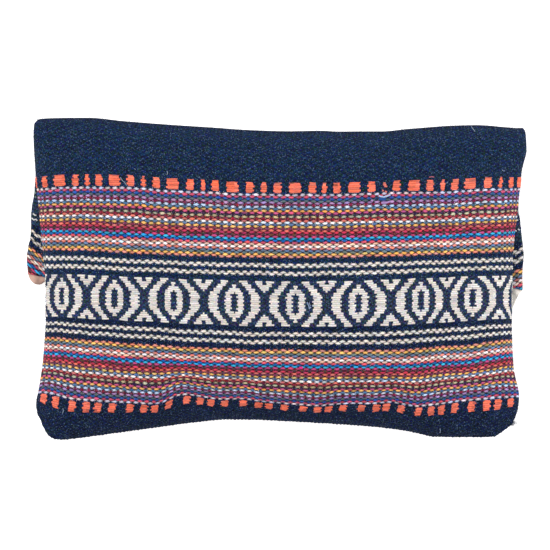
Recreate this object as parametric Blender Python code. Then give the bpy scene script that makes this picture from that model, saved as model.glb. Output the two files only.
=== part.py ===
# Foldover clutch bag of handwoven cotton, lying on its folded-down flap.
# Metres, +Z up, +X along the zip, +Y towards the top fold. The origin is the
# middle of the footprint on the surface that the flap lies on.

import math

import bmesh
import bpy
from mathutils import Matrix, Vector

# Cloth and sewing
cloth = 0.0022
lining_cloth = 0.0005
lining_ease = 0.0004
clearance = 0.0003

# Body of the bag, seen from the front
body_shift = 0.0018
top_width = 0.3030
bottom_width = 0.2975
waist_pinch = 0.0105
body_height = 0.1945
top_dip = 0.0055
bottom_rise = 0.0105

# Height of the stuffed body and of its seams
crown_height = 0.0470
side_seam_height = 0.0130
bottom_seam_height = 0.0140
top_roll_height = 0.0230
belly_drop = 0.0080
belly_start = 0.0420
belly_slope = 0.0260
seam_lift_length = 0.0240

# Flap folded down behind the body
flap_width = 0.3075
flap_shift = -0.0010
flap_depth = 0.0990
flap_pocket = 0.0038
flap_to_body = 0.0010
top_roll_depth = 0.0200
inner_fold_back = 0.0260
edge_fold_depth = 0.0050
edge_hem_rise = 0.0005

# Woven bands, measured down the front of the body
motif_repeat = 0.0388
orange_band = 0.0058
upper_stripes = 0.0406
upper_zigzags = 0.0130
motif_band = 0.0315
lower_zigzags = 0.0095
lower_stripes = 0.0335
bottom_band = 0.0080
weft_ridge = 0.00022
float_rise = 0.00035
cells_per_repeat = 8
lining_margin = 5

# How the stuffed cloth curves: the higher the power, the flatter its middle
crown_power = 3.2
crown_roundness = 0.55
side_power = 3.2
side_roundness = 0.6
flap_power = 20.0
tuck_power = 6.0
waist_power = 1.3
seam_lift_power = 2.2
corner_start = 0.15
corner_end = 0.9
tuck_start = 0.5
flap_width_station = 2.4
edge_stretch = 0.087
edge_stretch_power = 5.6

# Zip along the mouth of the flap
zip_end_room = 0.01575
zip_stand_off = 0.0075
tape = 0.0005
tape_overlap = 0.0090
coil_thickness = 0.0016
coil_groove = 0.0006
coil_width = 0.0017
coil_pitch = 0.0048
centre_slit = 0.0014
stop_length = 0.0022
stop_thickness = 0.0012
tape_bend_room = 0.0034
tab_length = 0.0140
left_tab_depth = 0.0040
right_tab_depth = 0.0105
tab_height = 0.0064
tab_round = 0.3

# Slider and pull
slider_length = 0.0100
slider_width = 0.0070
slider_back_width = 0.0050
slider_plate = 0.0009
slider_flange = 0.0006
slider_post_length = 0.0024
slider_post_setback = 0.0008
slider_flange_setback = 0.0016
slider_flange_share = 0.55
slider_taper = 0.18
slider_outer_round = 0.0014
slider_inner_round = 0.0012
slider_parking = 0.0040
casting_overlap = 0.0003
bail_length = 0.0060
bail_width = 0.0012
bail_wire = 0.0008
pull_length = 0.0230
pull_width = 0.0050
pull_thickness = 0.0010
pull_tip_hole = 0.0016
pull_tip_round = 0.45

# Levels and places that follow from the sizes above
half_cloth = cloth / 2
flap_front_level = half_cloth
flap_back_level = cloth + flap_pocket + half_cloth
mouth_back_level = cloth + 2 * tape + 3 * clearance + half_cloth
flap_top = 2 * cloth + flap_pocket
body_floor = flap_top + flap_to_body + half_cloth
edge_gap = (cloth + clearance) / 2
mouth_y = body_height / 2 - flap_depth
zip_length = flap_width - 2 * zip_end_room
zip_level = slider_width / 2 + 2 * clearance
tape_y = mouth_y - zip_stand_off
coil_back_y = tape_y - tape / 2 - clearance
coil_front_y = coil_back_y - coil_thickness
chain_end = zip_length / 2 - stop_length - clearance
slider_x = -chain_end + slider_parking + slider_length / 2
slider_face_y = coil_front_y - clearance - slider_plate
pull_pivot_room = pull_thickness / math.sqrt(2) + clearance
pull_y = slider_face_y - pull_pivot_room
pull_hole_reach = math.hypot(bail_length / 2, pull_pivot_room + bail_wire) + clearance

# Yarn and metal colours, as linear red, green and blue
colours = {
    "navy_yarn": (0.013, 0.027, 0.064),
    "orange_yarn": (0.880, 0.190, 0.110),
    "cream_yarn": (0.710, 0.660, 0.620),
    "lavender_yarn": (0.520, 0.500, 0.640),
    "rose_yarn": (0.640, 0.075, 0.110),
    "blue_yarn": (0.045, 0.165, 0.420),
    "sage_yarn": (0.200, 0.290, 0.250),
    "yellow_yarn": (0.830, 0.480, 0.110),
    "maroon_yarn": (0.130, 0.015, 0.030),
    "coral_yarn": (0.790, 0.210, 0.150),
    "lining_cotton": (0.560, 0.490, 0.420),
    "zip_tape": (0.450, 0.270, 0.215),
    "zip_coil": (0.400, 0.240, 0.190),
    "zip_metal": (0.480, 0.400, 0.270),
}

stripe_yarns = ["lavender_yarn", "rose_yarn", "blue_yarn", "yellow_yarn", "navy_yarn",
                "sage_yarn", "maroon_yarn", "coral_yarn", "blue_yarn", "rose_yarn"]


def material(name):
    found = bpy.data.materials.get(name)
    if found:
        return found
    made = bpy.data.materials.new(name)
    made.use_nodes = True
    surface = made.node_tree.nodes["Principled BSDF"]
    metal = name == "zip_metal"
    surface.inputs["Base Color"].default_value = (*colours[name], 1)
    surface.inputs["Roughness"].default_value = 0.32 if metal else 0.9
    surface.inputs["Metallic"].default_value = 1.0 if metal else 0.0
    made.diffuse_color = (*colours[name], 1)
    return made


def new_object(name, bm, slots, smooth_angle=None):
    mesh = bpy.data.meshes.new(name)
    bm.to_mesh(mesh)
    bm.free()
    for slot in slots:
        mesh.materials.append(material(slot))
    if smooth_angle:
        mesh.shade_smooth()
        mesh.set_sharp_from_angle(angle=math.radians(smooth_angle))
    made = bpy.data.objects.new(name, mesh)
    bpy.context.scene.collection.objects.link(made)
    return made


def mix(low, high, share):
    return low + (high - low) * share


def smooth_step(low, high, value):
    share = min(max((value - low) / (high - low), 0), 1)
    return share * share * (3 - 2 * share)


def bulge(share, power, roundness):
    # 1 in the middle of the cloth, 0 at its seams, with rounded shoulders
    return max(1 - abs(share) ** power, 0) ** roundness


def plan_blend(side):
    # the corners reach further out than the middle of the top and bottom
    return 1 - smooth_step(corner_start, corner_end, abs(side))


def cloth_side(share):
    # equal steps of cloth look narrower where the sides curve away
    stretch = math.copysign(abs(share) ** edge_stretch_power, share)
    return (1 + edge_stretch) * share - edge_stretch * stretch


def half_width(height_share):
    # half the body's width, from its bottom (0) to its top fold (1)
    straight = mix(bottom_width, top_width, height_share) / 2
    return straight - waist_pinch / 2 * math.sin(math.pi * height_share) ** waist_power


# Each section function gives (y, z, half width) of the middle of the cloth for
# a station along its length: 0 to 1 is the body from the bottom seam to the
# top fold, 1 to 2 the roll of the fold and 2 to 3 the flap down to its mouth.


def front_centre(station):
    top = body_height / 2 - top_dip - half_cloth
    bottom = -body_height / 2 + bottom_rise + half_cloth
    roll_y = top - top_roll_depth
    if station <= 1:
        seam = mix(bottom_seam_height + edge_gap, top_roll_height, station)
        crown = crown_height - half_cloth
        rise = bulge(2 * station - 1, crown_power, crown_roundness)
        return mix(bottom, top, station), mix(seam, crown, rise)
    if station <= 2:
        turn = (station - 1) * math.pi / 2
        drop = top_roll_height - flap_front_level
        y = roll_y + top_roll_depth * math.cos(turn)
        return y, flap_front_level + drop * (1 - math.sin(turn))
    return mix(roll_y, mouth_y, station - 2), flap_front_level


def edge_path(station, offset, flap_level):
    # the seam at the bag's side: flat along the body, round the fold, then back
    fold_y = body_height / 2 - half_cloth - edge_gap - edge_fold_depth
    reach = edge_fold_depth + offset
    high = side_seam_height + offset
    bottom = -body_height / 2 + half_cloth
    middle = (high + flap_level) / 2
    if station <= 1:
        y = mix(bottom, fold_y + reach, station)
        if y <= fold_y:
            return y, high
        turn = math.asin(min((y - fold_y) / reach, 1))
        return y, mix(middle, high, math.cos(turn))
    if station <= 2:
        turn = (station - 1) * math.pi / 2
        return fold_y + reach * math.cos(turn), mix(middle, flap_level, math.sin(turn))
    return mix(fold_y, mouth_y, station - 2), flap_level


def front_edge(station):
    return edge_path(station, edge_gap, flap_front_level)


def back_centre(station):
    bottom = -body_height / 2 + bottom_rise + half_cloth
    fold_radius = (body_floor - flap_back_level) / 2
    fold_y = body_height / 2 - top_dip - inner_fold_back
    fold_z = (body_floor + flap_back_level) / 2
    if station <= 1:
        y = mix(bottom, fold_y + fold_radius, station)
        if y > fold_y:
            turn = math.asin(min((y - fold_y) / fold_radius, 1))
            return y, fold_z + fold_radius * math.cos(turn)
        sag = belly_drop * smooth_step(-belly_start, -belly_start - belly_slope, y)
        rise = bottom_seam_height - edge_gap - body_floor + belly_drop
        lift = rise * max(1 - (y - bottom) / seam_lift_length, 0) ** seam_lift_power
        return y, body_floor - sag + lift
    if station <= 2:
        turn = (station - 1) * math.pi / 2
        return fold_y + fold_radius * math.cos(turn), fold_z - fold_radius * math.sin(turn)
    y = mix(fold_y, mouth_y, station - 2)
    return y, mix(flap_back_level, mouth_back_level, station - 2)


def back_edge(station):
    return edge_path(station, -edge_gap, flap_front_level + 2 * edge_gap + edge_hem_rise)


def cloth_point(centre, edge, share, station):
    side = cloth_side(share)
    centre_y, centre_z = centre(station)
    edge_y, edge_z = edge(station)
    across = mix(side_power, flap_power, smooth_step(1.0, 2.0, station))
    open_share = bulge(side, across, side_roundness)
    tucked = smooth_step(tuck_start, corner_end, station) if centre is back_centre else 0
    plan = mix(plan_blend(side), bulge(side, tuck_power, side_roundness), tucked)
    y = mix(edge_y, centre_y, plan)
    z = mix(edge_z, centre_z, open_share)
    body = half_width(min(station, 1))
    on_flap = smooth_step(1.0, flap_width_station, station)
    half = mix(body, flap_width / 2 - half_cloth, on_flap)
    shift = mix(body_shift, flap_shift, on_flap)
    return Vector((shift + side * half, y, z))


def sheet(name, centre, edge, shares, stations, thickness, slots,
          cell=None, relief=None, inward=0.0):
    # a grid of cloth laid along its sections, then given its thickness
    bm = bmesh.new()
    columns = len(shares) - 1
    rows = len(stations) - 1
    bmesh.ops.create_grid(bm, x_segments=columns, y_segments=rows, size=0.5)
    for vert in bm.verts:
        column = round((vert.co.x + 0.5) * columns)
        row = round((vert.co.y + 0.5) * rows)
        vert.co = cloth_point(centre, edge, shares[column], stations[row])
        vert.index = row * (columns + 1) + column
    bm.verts.sort(key=lambda vert: vert.index)
    bm.normal_update()
    if cell:
        for face in bm.faces:
            numbers = [vert.index for vert in face.verts]
            row, column = divmod(min(numbers), columns + 1)
            face.material_index = slots.index(cell(row, column))
    moves = []
    for vert in bm.verts:
        lift = -inward
        if relief:
            row, column = divmod(vert.index, columns + 1)
            lift += relief(row, column)
        moves.append(vert.normal * lift)
    for vert, move in zip(bm.verts, moves):
        vert.co += move
    made = new_object(name, bm, slots)
    thick = made.modifiers.new("cloth thickness", "SOLIDIFY")
    thick.thickness = thickness
    thick.offset = 0
    return made


# Front of the bag: woven bands, dashes, zigzags and ovals as fields of colour


def front_rows():
    # station of each row's upper edge on the body, with what the row shows
    bands = [("navy", bottom_band, 3), ("dashes", orange_band, 1),
             ("stripes", lower_stripes, 5), ("zigzag", lower_zigzags, 2),
             ("motif", motif_band, 7), ("zigzag", upper_zigzags, 2),
             ("stripes", upper_stripes, 5), ("dashes", orange_band, 1)]
    span = body_height - bottom_rise - top_dip - cloth
    stations = [0.0]
    kinds = []
    reach = 0
    for kind, width, count in bands:
        for step in range(count):
            share = (step + 1) / count
            if reach == 0:
                share = 1 - math.cos(share * math.pi / 2)
            stations.append((reach + width * share) / span)
            kinds.append((kind, step, count))
        reach += width
    start = reach / span
    navy_rows = 4
    for step in range(navy_rows):
        turn = (step + 1) / navy_rows * math.pi / 2
        stations.append(mix(start, 1, math.sin(turn)))
        kinds.append(("navy", step, navy_rows))
    return stations, kinds


body_stations, row_kinds = front_rows()
fold_stations = [1 + step / 3 for step in range(1, 4)]
flap_stations = [2.25, 2.6, 3.0]
fold_kinds = [("navy", 0, 1)] * len(fold_stations)
flap_kinds = [("stripes", 5, 6), ("zigzag", 0, 2), ("stripes", 2, 6)]
row_kinds = row_kinds + fold_kinds + flap_kinds
front_stations = body_stations + fold_stations + flap_stations

cell_width = motif_repeat / cells_per_repeat
cloth_width = 2 * (1 + edge_stretch) * (half_width(0.5) + cloth)
cell_count = 2 * round(cloth_width / cell_width / 2)
front_shares = [2 * column / cell_count - 1 for column in range(cell_count + 1)]

# Cells of one repeat of the motif, from the middle of an oval outwards
motif_rows = {0: [3], 1: [2, 3], 2: [0, 2], 3: [0, 2], 4: [0, 2], 5: [2, 3], 6: [3]}


def motif_cell(column):
    # how many cells a column lies from the middle of its oval
    place = (column - cell_count // 2) % cells_per_repeat
    return place if place < cells_per_repeat // 2 else cells_per_repeat - 1 - place


def front_yarn(row, column):
    kind, step, count = row_kinds[row]
    place = motif_cell(column)
    if kind == "dashes":
        return "orange_yarn" if place in (0, 2) else "navy_yarn"
    if kind == "stripes":
        return stripe_yarns[step % len(stripe_yarns)]
    if kind == "zigzag":
        return "cream_yarn" if (column + step) % 2 else "navy_yarn"
    if kind == "motif":
        return "cream_yarn" if place in motif_rows[step] else "navy_yarn"
    return "navy_yarn"


def front_relief(row, column):
    # floats of cream and orange yarn stand proud, and the weft lies in ridges
    ridge = weft_ridge if row % 2 else -weft_ridge
    if row in (0, len(front_stations) - 1) or column in (0, cell_count):
        return 0
    around = [(row - 1, column - 1), (row - 1, column), (row, column - 1), (row, column)]
    raised = sum(front_yarn(*place) in ("cream_yarn", "orange_yarn") for place in around)
    if front_stations[row] > 1:
        return 0
    return ridge + float_rise * raised / 4


# Back of the bag: the same bands in fewer cells, with a tight fold inside the bag
back_columns = 28
back_shares = [math.sin(math.pi / 2 * (2 * step / back_columns - 1))
               for step in range(back_columns + 1)]
# close together at the bottom seam and where the cloth turns into its fold
back_stations = [0.0, 0.008, 0.03, 0.06, 0.1, 0.15, 0.2, 0.26, 0.34, 0.45, 0.6, 0.75,
                 0.9, 0.96, 0.983, 0.9915, 0.997, 1.0, 1.33, 1.66, 2.0, 2.33, 2.66, 3.0]


def back_yarn(row, column):
    station = back_stations[row]
    if 0.12 < station < 0.3 or station > 2.1:
        return stripe_yarns[row % len(stripe_yarns)]
    return "cream_yarn" if 0.3 < station < 0.5 and column % 4 else "navy_yarn"


def panels():
    slots = ["navy_yarn", "orange_yarn", "cream_yarn"]
    slots += sorted(set(stripe_yarns) - {"navy_yarn"})
    sheet("front_panel", front_centre, front_edge, front_shares, front_stations, cloth,
          slots, front_yarn, front_relief)
    sheet("back_panel", back_centre, back_edge, back_shares, back_stations, cloth,
          slots, back_yarn)


def lining_stations(centre, stations, first, skip):
    # the rows of the panel that the lining hangs from, up to the zip tape
    kept = [station for station in stations[first::skip] if station < 2]
    roll_y = centre(2.0)[0]
    flap = roll_y - mouth_y
    end = 2 + (flap - tape_overlap - 2 * clearance) / flap
    return kept + [2.0, mix(2.0, end, 0.3), mix(2.0, end, 0.65), end]


def linings():
    inside = half_cloth + lining_ease + lining_cloth / 2
    rows = lining_stations(front_centre, front_stations, 3, 3)
    columns = front_shares[lining_margin:-lining_margin + 1:4]
    sheet("front_lining", front_centre, front_edge, columns, rows, lining_cloth,
          ["lining_cotton"], inward=inside)
    rows = lining_stations(back_centre, back_stations, 3, 1)
    sheet("back_lining", back_centre, back_edge, back_shares[5:-4:2], rows, lining_cloth,
          ["lining_cotton"], inward=-inside)


# Zip: two tapes with their coils, stops, end tabs, a slider and its pull


def box(bm, low, high):
    # a block between two corners
    made = bmesh.ops.create_cube(bm, size=1)
    size = Vector(high) - Vector(low)
    bmesh.ops.scale(bm, vec=size, verts=made["verts"])
    bmesh.ops.translate(bm, vec=(Vector(high) + Vector(low)) / 2, verts=made["verts"])
    return made["verts"]


def mirrored_level(z, upper):
    return 2 * zip_level - z if upper else z


def zip_tape(name, upper):
    # the tape runs inside the hem, turns down past the slider and up to the coil
    inside = cloth + clearance + tape / 2
    if upper:
        inside += tape + clearance
    drop = slider_back_width / 2 + clearance + tape / 2
    turn_z = mirrored_level(zip_level - drop, upper)
    bend_z = mirrored_level(zip_level - drop + tape, upper)
    slit_z = mirrored_level(zip_level - centre_slit / 2 - clearance, upper)
    path = [(mouth_y + tape_overlap, inside), (mouth_y - 2 * clearance, inside),
            (mouth_y - tape_bend_room, turn_z), (tape_y + tape, turn_z),
            (tape_y, bend_z), (tape_y, slit_z)]
    bm = bmesh.new()
    for y, z in path:
        bm.verts.new((-zip_length / 2, y, z))
    bm.verts.ensure_lookup_table()
    edges = [bm.edges.new(pair) for pair in zip(bm.verts[:-1], bm.verts[1:])]
    made = bmesh.ops.extrude_edge_only(bm, edges=edges)
    moved = [item for item in made["geom"] if isinstance(item, bmesh.types.BMVert)]
    bmesh.ops.translate(bm, vec=(zip_length, 0, 0), verts=moved)
    bmesh.ops.recalc_face_normals(bm, faces=bm.faces)
    strip = new_object(name, bm, ["zip_tape"])
    thick = strip.modifiers.new("tape thickness", "SOLIDIFY")
    thick.thickness = tape
    thick.offset = 0


def zip_coil(name, upper):
    # a ridge for each turn of the coil, along the outer face of the tape
    ridges = round(2 * chain_end / coil_pitch)
    pitch = 2 * chain_end / ridges
    bm = bmesh.new()
    outline = [(-chain_end, coil_back_y), (chain_end, coil_back_y)]
    for step in range(2 * ridges, -1, -1):
        groove = coil_groove if step % 2 == 0 else 0
        outline.append((-chain_end + step * pitch / 2, coil_front_y + groove))
    near = mirrored_level(zip_level - centre_slit / 2, upper)
    far = mirrored_level(zip_level - centre_slit / 2 - coil_width, upper)
    corners = [bm.verts.new((x, y, near)) for x, y in outline]
    face = bm.faces.new(corners)
    made = bmesh.ops.extrude_face_region(bm, geom=[face])
    moved = [item for item in made["geom"] if isinstance(item, bmesh.types.BMVert)]
    bmesh.ops.translate(bm, vec=(0, 0, far - near), verts=moved)
    bmesh.ops.recalc_face_normals(bm, faces=bm.faces)
    new_object(name, bm, ["zip_coil"])


def zip_stop(name, centre_x, low_z, high_z):
    bm = bmesh.new()
    front = coil_back_y - stop_thickness
    box(bm, (centre_x - stop_length / 2, front, low_z),
        (centre_x + stop_length / 2, coil_back_y, high_z))
    outer = [edge for edge in bm.edges
             if all(vert.co.y < coil_back_y - clearance for vert in edge.verts)]
    bmesh.ops.bevel(bm, geom=outer, offset=stop_thickness * tab_round, segments=2, profile=0.5,
                    affect="EDGES")
    new_object(name, bm, ["zip_metal"], smooth_angle=40)


def zip_stops():
    near = centre_slit / 2
    far = near + coil_width
    place = zip_length / 2 - stop_length / 2
    zip_stop("zip_top_stop_front", -place, zip_level - far, zip_level - near)
    zip_stop("zip_top_stop_back", -place, zip_level + near, zip_level + far)
    zip_stop("zip_bottom_stop", place, zip_level - far, zip_level + far)


def end_tab(name, side, depth):
    # a folded tab of cloth that hides the ends of the tapes
    bm = bmesh.new()
    near = zip_length / 2 + clearance
    mouth = mouth_y - clearance
    ends = sorted((side * near, side * (near + tab_length)))
    box(bm, (ends[0], mouth - depth, zip_level - tab_height / 2),
        (ends[1], mouth, zip_level + tab_height / 2))
    bmesh.ops.bevel(bm, geom=list(bm.edges), offset=min(tab_height, depth) * tab_round,
                    segments=2, profile=0.5, affect="EDGES")
    new_object(name, bm, ["zip_tape"], smooth_angle=60)


def join_all(name, pieces, slot, smooth_angle):
    # one casting from several blocks
    first = pieces[0]
    for piece in pieces[1:]:
        union = first.modifiers.new(piece.name, "BOOLEAN")
        union.operation = "UNION"
        union.object = piece
        piece.hide_render = True
        piece.display_type = "WIRE"
    first.name = name
    first.data.materials.clear()
    first.data.materials.append(material(slot))
    first.data.shade_smooth()
    first.data.set_sharp_from_angle(angle=math.radians(smooth_angle))
    return first


def runs_along_y(edge):
    return abs(edge.verts[0].co.y - edge.verts[1].co.y) > clearance


def slider_block(name, low, high, taper=0.0, round_edges=0.0):
    # low and high are measured from the slider's middle, at the coil's back face
    bm = bmesh.new()
    box(bm, low, high)
    for vert in bm.verts:
        if vert.co.x > 0:
            vert.co.z *= 1 - taper
    if round_edges:
        corners = [edge for edge in bm.edges if runs_along_y(edge)]
        bmesh.ops.bevel(bm, geom=corners, offset=round_edges, segments=3, profile=0.5,
                        affect="EDGES")
    made = new_object(name, bm, [])
    made.location = (slider_x, coil_back_y, zip_level)
    return made


def zip_slider():
    # two plates joined by a post at the nose, with flanges and a bail for the pull
    half = slider_length / 2
    outer_low = -coil_thickness - clearance - slider_plate
    outer_high = -coil_thickness - clearance
    inner_low = 2 * clearance + tape
    inner_high = inner_low + slider_plate
    wide = slider_width / 2
    narrow = slider_back_width / 2
    pieces = [slider_block("slider_outer", (-half, outer_low, -wide), (half, outer_high, wide),
                           slider_taper, slider_outer_round)]
    pieces.append(slider_block("slider_inner", (-half, inner_low, -narrow),
                               (half, inner_high, narrow), slider_taper, slider_inner_round))
    post = centre_slit / 2 - clearance
    post_x = -half + slider_post_setback
    pieces.append(slider_block("slider_post", (post_x, outer_low + casting_overlap, -post),
                               (post_x + slider_post_length, inner_high - casting_overlap, post)))
    for side in (-1, 1):
        edge = sorted((side * (wide - slider_flange), side * wide))
        low = (-half + slider_flange_setback, outer_low + casting_overlap / 2, edge[0])
        high = (half * slider_flange_share, -clearance, edge[1])
        pieces.append(slider_block("slider_flange", low, high))
    arch = bail_length / 2
    top = outer_low - 2 * pull_pivot_room - bail_wire
    pieces.append(slider_block("bail_top", (-arch, top, -bail_width / 2),
                               (arch, top + bail_wire, bail_width / 2)))
    leg_width = bail_width - casting_overlap / 3
    for side in (-1, 1):
        leg = sorted((side * (arch - bail_wire), side * arch))
        low = (leg[0], top + casting_overlap / 3, -leg_width / 2)
        high = (leg[1], outer_low + casting_overlap, leg_width / 2)
        pieces.append(slider_block("bail_leg", low, high))
    join_all("zip_slider", pieces, "zip_metal", 35)


def zip_pull():
    # a tab with a slot for the bail at one end and a round hole at the other;
    # its origin is on the axis that it turns about
    bar = pull_thickness / 2
    bm = bmesh.new()
    box(bm, (-bar, -bar, -pull_width / 2), (pull_length, bar, pull_width / 2))
    corners = [edge for edge in bm.edges if edge.verts[0].co.x > 0 and runs_along_y(edge)]
    bmesh.ops.bevel(bm, geom=corners, offset=pull_width * pull_tip_round, segments=5, profile=0.5,
                    affect="EDGES")
    tab = new_object("zip_pull", bm, ["zip_metal"], smooth_angle=35)
    tab.location = (slider_x, pull_y, zip_level)
    bm = bmesh.new()
    box(bm, (bar, -pull_thickness, -bail_width / 2 - clearance),
        (pull_hole_reach, pull_thickness, bail_width / 2 + clearance))
    slot = new_object("pull_slot", bm, [])
    bm = bmesh.new()
    bmesh.ops.create_cone(bm, cap_ends=True, segments=20, radius1=pull_tip_hole,
                          radius2=pull_tip_hole, depth=3 * pull_thickness)
    upright = Matrix.Rotation(math.pi / 2, 3, "X")
    bmesh.ops.rotate(bm, cent=(0, 0, 0), matrix=upright, verts=bm.verts)
    bmesh.ops.translate(bm, vec=(pull_length - pull_width / 2, 0, 0), verts=bm.verts)
    hole = new_object("pull_hole", bm, [])
    for cutter in (slot, hole):
        cutter.location = tab.location
        cutter.hide_render = True
        cutter.display_type = "WIRE"
        cut = tab.modifiers.new(cutter.name, "BOOLEAN")
        cut.operation = "DIFFERENCE"
        cut.object = cutter


def build():
    for old in list(bpy.data.objects):
        bpy.data.objects.remove(old)
    panels()
    linings()
    for layer, upper in (("front", False), ("back", True)):
        zip_tape(f"zip_tape_{layer}", upper)
        zip_coil(f"zip_coil_{layer}", upper)
    zip_stops()
    end_tab("zip_end_tab_left", -1, left_tab_depth)
    end_tab("zip_end_tab_right", 1, right_tab_depth)
    zip_slider()
    zip_pull()


build()
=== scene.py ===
# The looks of a foldover clutch bag of handwoven cotton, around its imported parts.
import math

import bmesh
import bpy
import numpy as np
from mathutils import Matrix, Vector


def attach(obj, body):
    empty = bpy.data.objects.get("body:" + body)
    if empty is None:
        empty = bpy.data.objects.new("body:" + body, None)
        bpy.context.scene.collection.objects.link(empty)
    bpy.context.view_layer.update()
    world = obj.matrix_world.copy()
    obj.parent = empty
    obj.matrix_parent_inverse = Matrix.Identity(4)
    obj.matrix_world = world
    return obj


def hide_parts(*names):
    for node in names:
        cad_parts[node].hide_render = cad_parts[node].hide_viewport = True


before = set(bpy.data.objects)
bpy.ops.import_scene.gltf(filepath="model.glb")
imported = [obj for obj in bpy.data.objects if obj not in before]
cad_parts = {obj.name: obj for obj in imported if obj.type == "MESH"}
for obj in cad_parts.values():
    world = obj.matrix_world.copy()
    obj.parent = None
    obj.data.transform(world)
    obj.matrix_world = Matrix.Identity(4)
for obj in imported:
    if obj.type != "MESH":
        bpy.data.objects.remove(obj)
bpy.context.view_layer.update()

mm = 0.001


# where the camera hangs and what it sees; lengths in metres
pictureView = {
    "x": -0.0009,            # the point that it looks down on
    "y": 0.0019,
    "seamLevel": 0.014,      # outlines are measured as they are seen at this height
    "distance": 1.5,         # from that height to the camera
    "width": 0.3399,         # what the picture shows across at that height
    "sensor": 36.0,
    "farthest": 20,
}


def mix(low, high, share):
    return low + (high - low) * share


def smoothStep(low, high, value):
    share = np.clip((value - low) / (high - low), 0, 1)
    return share * share * (3 - 2 * share)


def bulge(share, power, roundness):
    # 1 in the middle of the cloth, 0 at its seams, with rounded shoulders
    return np.maximum(1 - np.abs(share) ** power, 0) ** roundness


def smoothCurve(points, at):
    # a smooth line through a few points, which never overshoots them
    xs, ys = np.array(sorted(points), float).T
    step = np.diff(xs)
    slope = np.diff(ys) / step
    tangent = np.zeros(len(xs))
    tangent[0] = slope[0]
    tangent[-1] = slope[-1]
    before = slope[:-1]
    after = slope[1:]
    rising = before * after > 0
    nearAfter = 2 * step[1:] + step[:-1]
    nearBefore = step[1:] + 2 * step[:-1]
    inner = np.zeros(len(before))
    inner[rising] = ((nearAfter + nearBefore)[rising]
                     / (nearAfter[rising] / before[rising] + nearBefore[rising] / after[rising]))
    tangent[1:-1] = inner
    at = np.asarray(at, float)
    cell = np.clip(np.searchsorted(xs, at) - 1, 0, len(step) - 1)
    t = np.clip((at - xs[cell]) / step[cell], 0, 1)
    width = step[cell]
    return ((2 * t ** 3 - 3 * t ** 2 + 1) * ys[cell] + (t ** 3 - 2 * t ** 2 + t) * width * tangent[cell]
            + (3 * t ** 2 - 2 * t ** 3) * ys[cell + 1] + (t ** 3 - t ** 2) * width * tangent[cell + 1])


rippleLook = {"crossings": 7, "lengths": (0.7, 1.6), "height": 2.6}


def ripple(x, y, wave, seed):
    # a gentle uneven wave of about 1 high, from a few crossing waves
    draw = np.random.default_rng(seed)
    total = 0
    for turn in range(rippleLook["crossings"]):
        angle = draw.uniform(0, math.pi)
        length = wave * draw.uniform(*rippleLook["lengths"])
        phase = draw.uniform(0, 2 * math.pi)
        total = total + np.sin((x * math.cos(angle) + y * math.sin(angle)) * 2 * math.pi / length + phase)
    return total / rippleLook["height"]


def ripples(x, y, waves):
    # several on top of each other, each with its height, wave, seed and stretch
    return sum(height * ripple(x, y * stretch, wave, seed) for height, wave, seed, stretch in waves)


def unit(vectors):
    return vectors / np.maximum(np.linalg.norm(vectors, axis=-1, keepdims=True), 1e-12)


def fromPicture(x, y, z):
    # the place at height z that is seen where (x, y) lies at the seams' level
    nearer = 1 - (z - pictureView["seamLevel"]) / pictureView["distance"]
    return (pictureView["x"] + (x - pictureView["x"]) * nearer,
            pictureView["y"] + (y - pictureView["y"]) * nearer)


# Shader maths, written as plain expressions


def feed(socket, value):
    # a link or a plain value into a socket
    if isinstance(value, Wire):
        value.tree.links.new(value.socket, socket)
    else:
        socket.default_value = value


def binary(operation, swapped=False):
    # a method of Wire that works on it and a second value, with a Math node
    def method(self, other):
        return self.maths(operation, other, self) if swapped else self.maths(operation, self, other)
    return method


def unary(operation):
    # the same without a second value
    return lambda self: self.maths(operation, self)


class Wire:
    def __init__(self, tree, socket):
        self.tree = tree
        self.socket = socket

    def maths(self, operation, first, second=None):
        node = self.tree.nodes.new("ShaderNodeMath")
        node.operation = operation
        for place, value in enumerate((first, second)):
            if value is not None:
                feed(node.inputs[place], value)
        return Wire(self.tree, node.outputs[0])

    __add__ = __radd__ = binary("ADD")
    __mul__ = __rmul__ = binary("MULTIPLY")
    __sub__ = binary("SUBTRACT")
    __rsub__ = binary("SUBTRACT", swapped=True)
    __truediv__ = binary("DIVIDE")
    __pow__ = binary("POWER")
    above = binary("GREATER_THAN")
    larger = binary("MAXIMUM")
    sine = unary("SINE")
    cosine = unary("COSINE")
    fraction = unary("FRACT")
    floor = unary("FLOOR")
    size = unary("ABSOLUTE")


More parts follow.
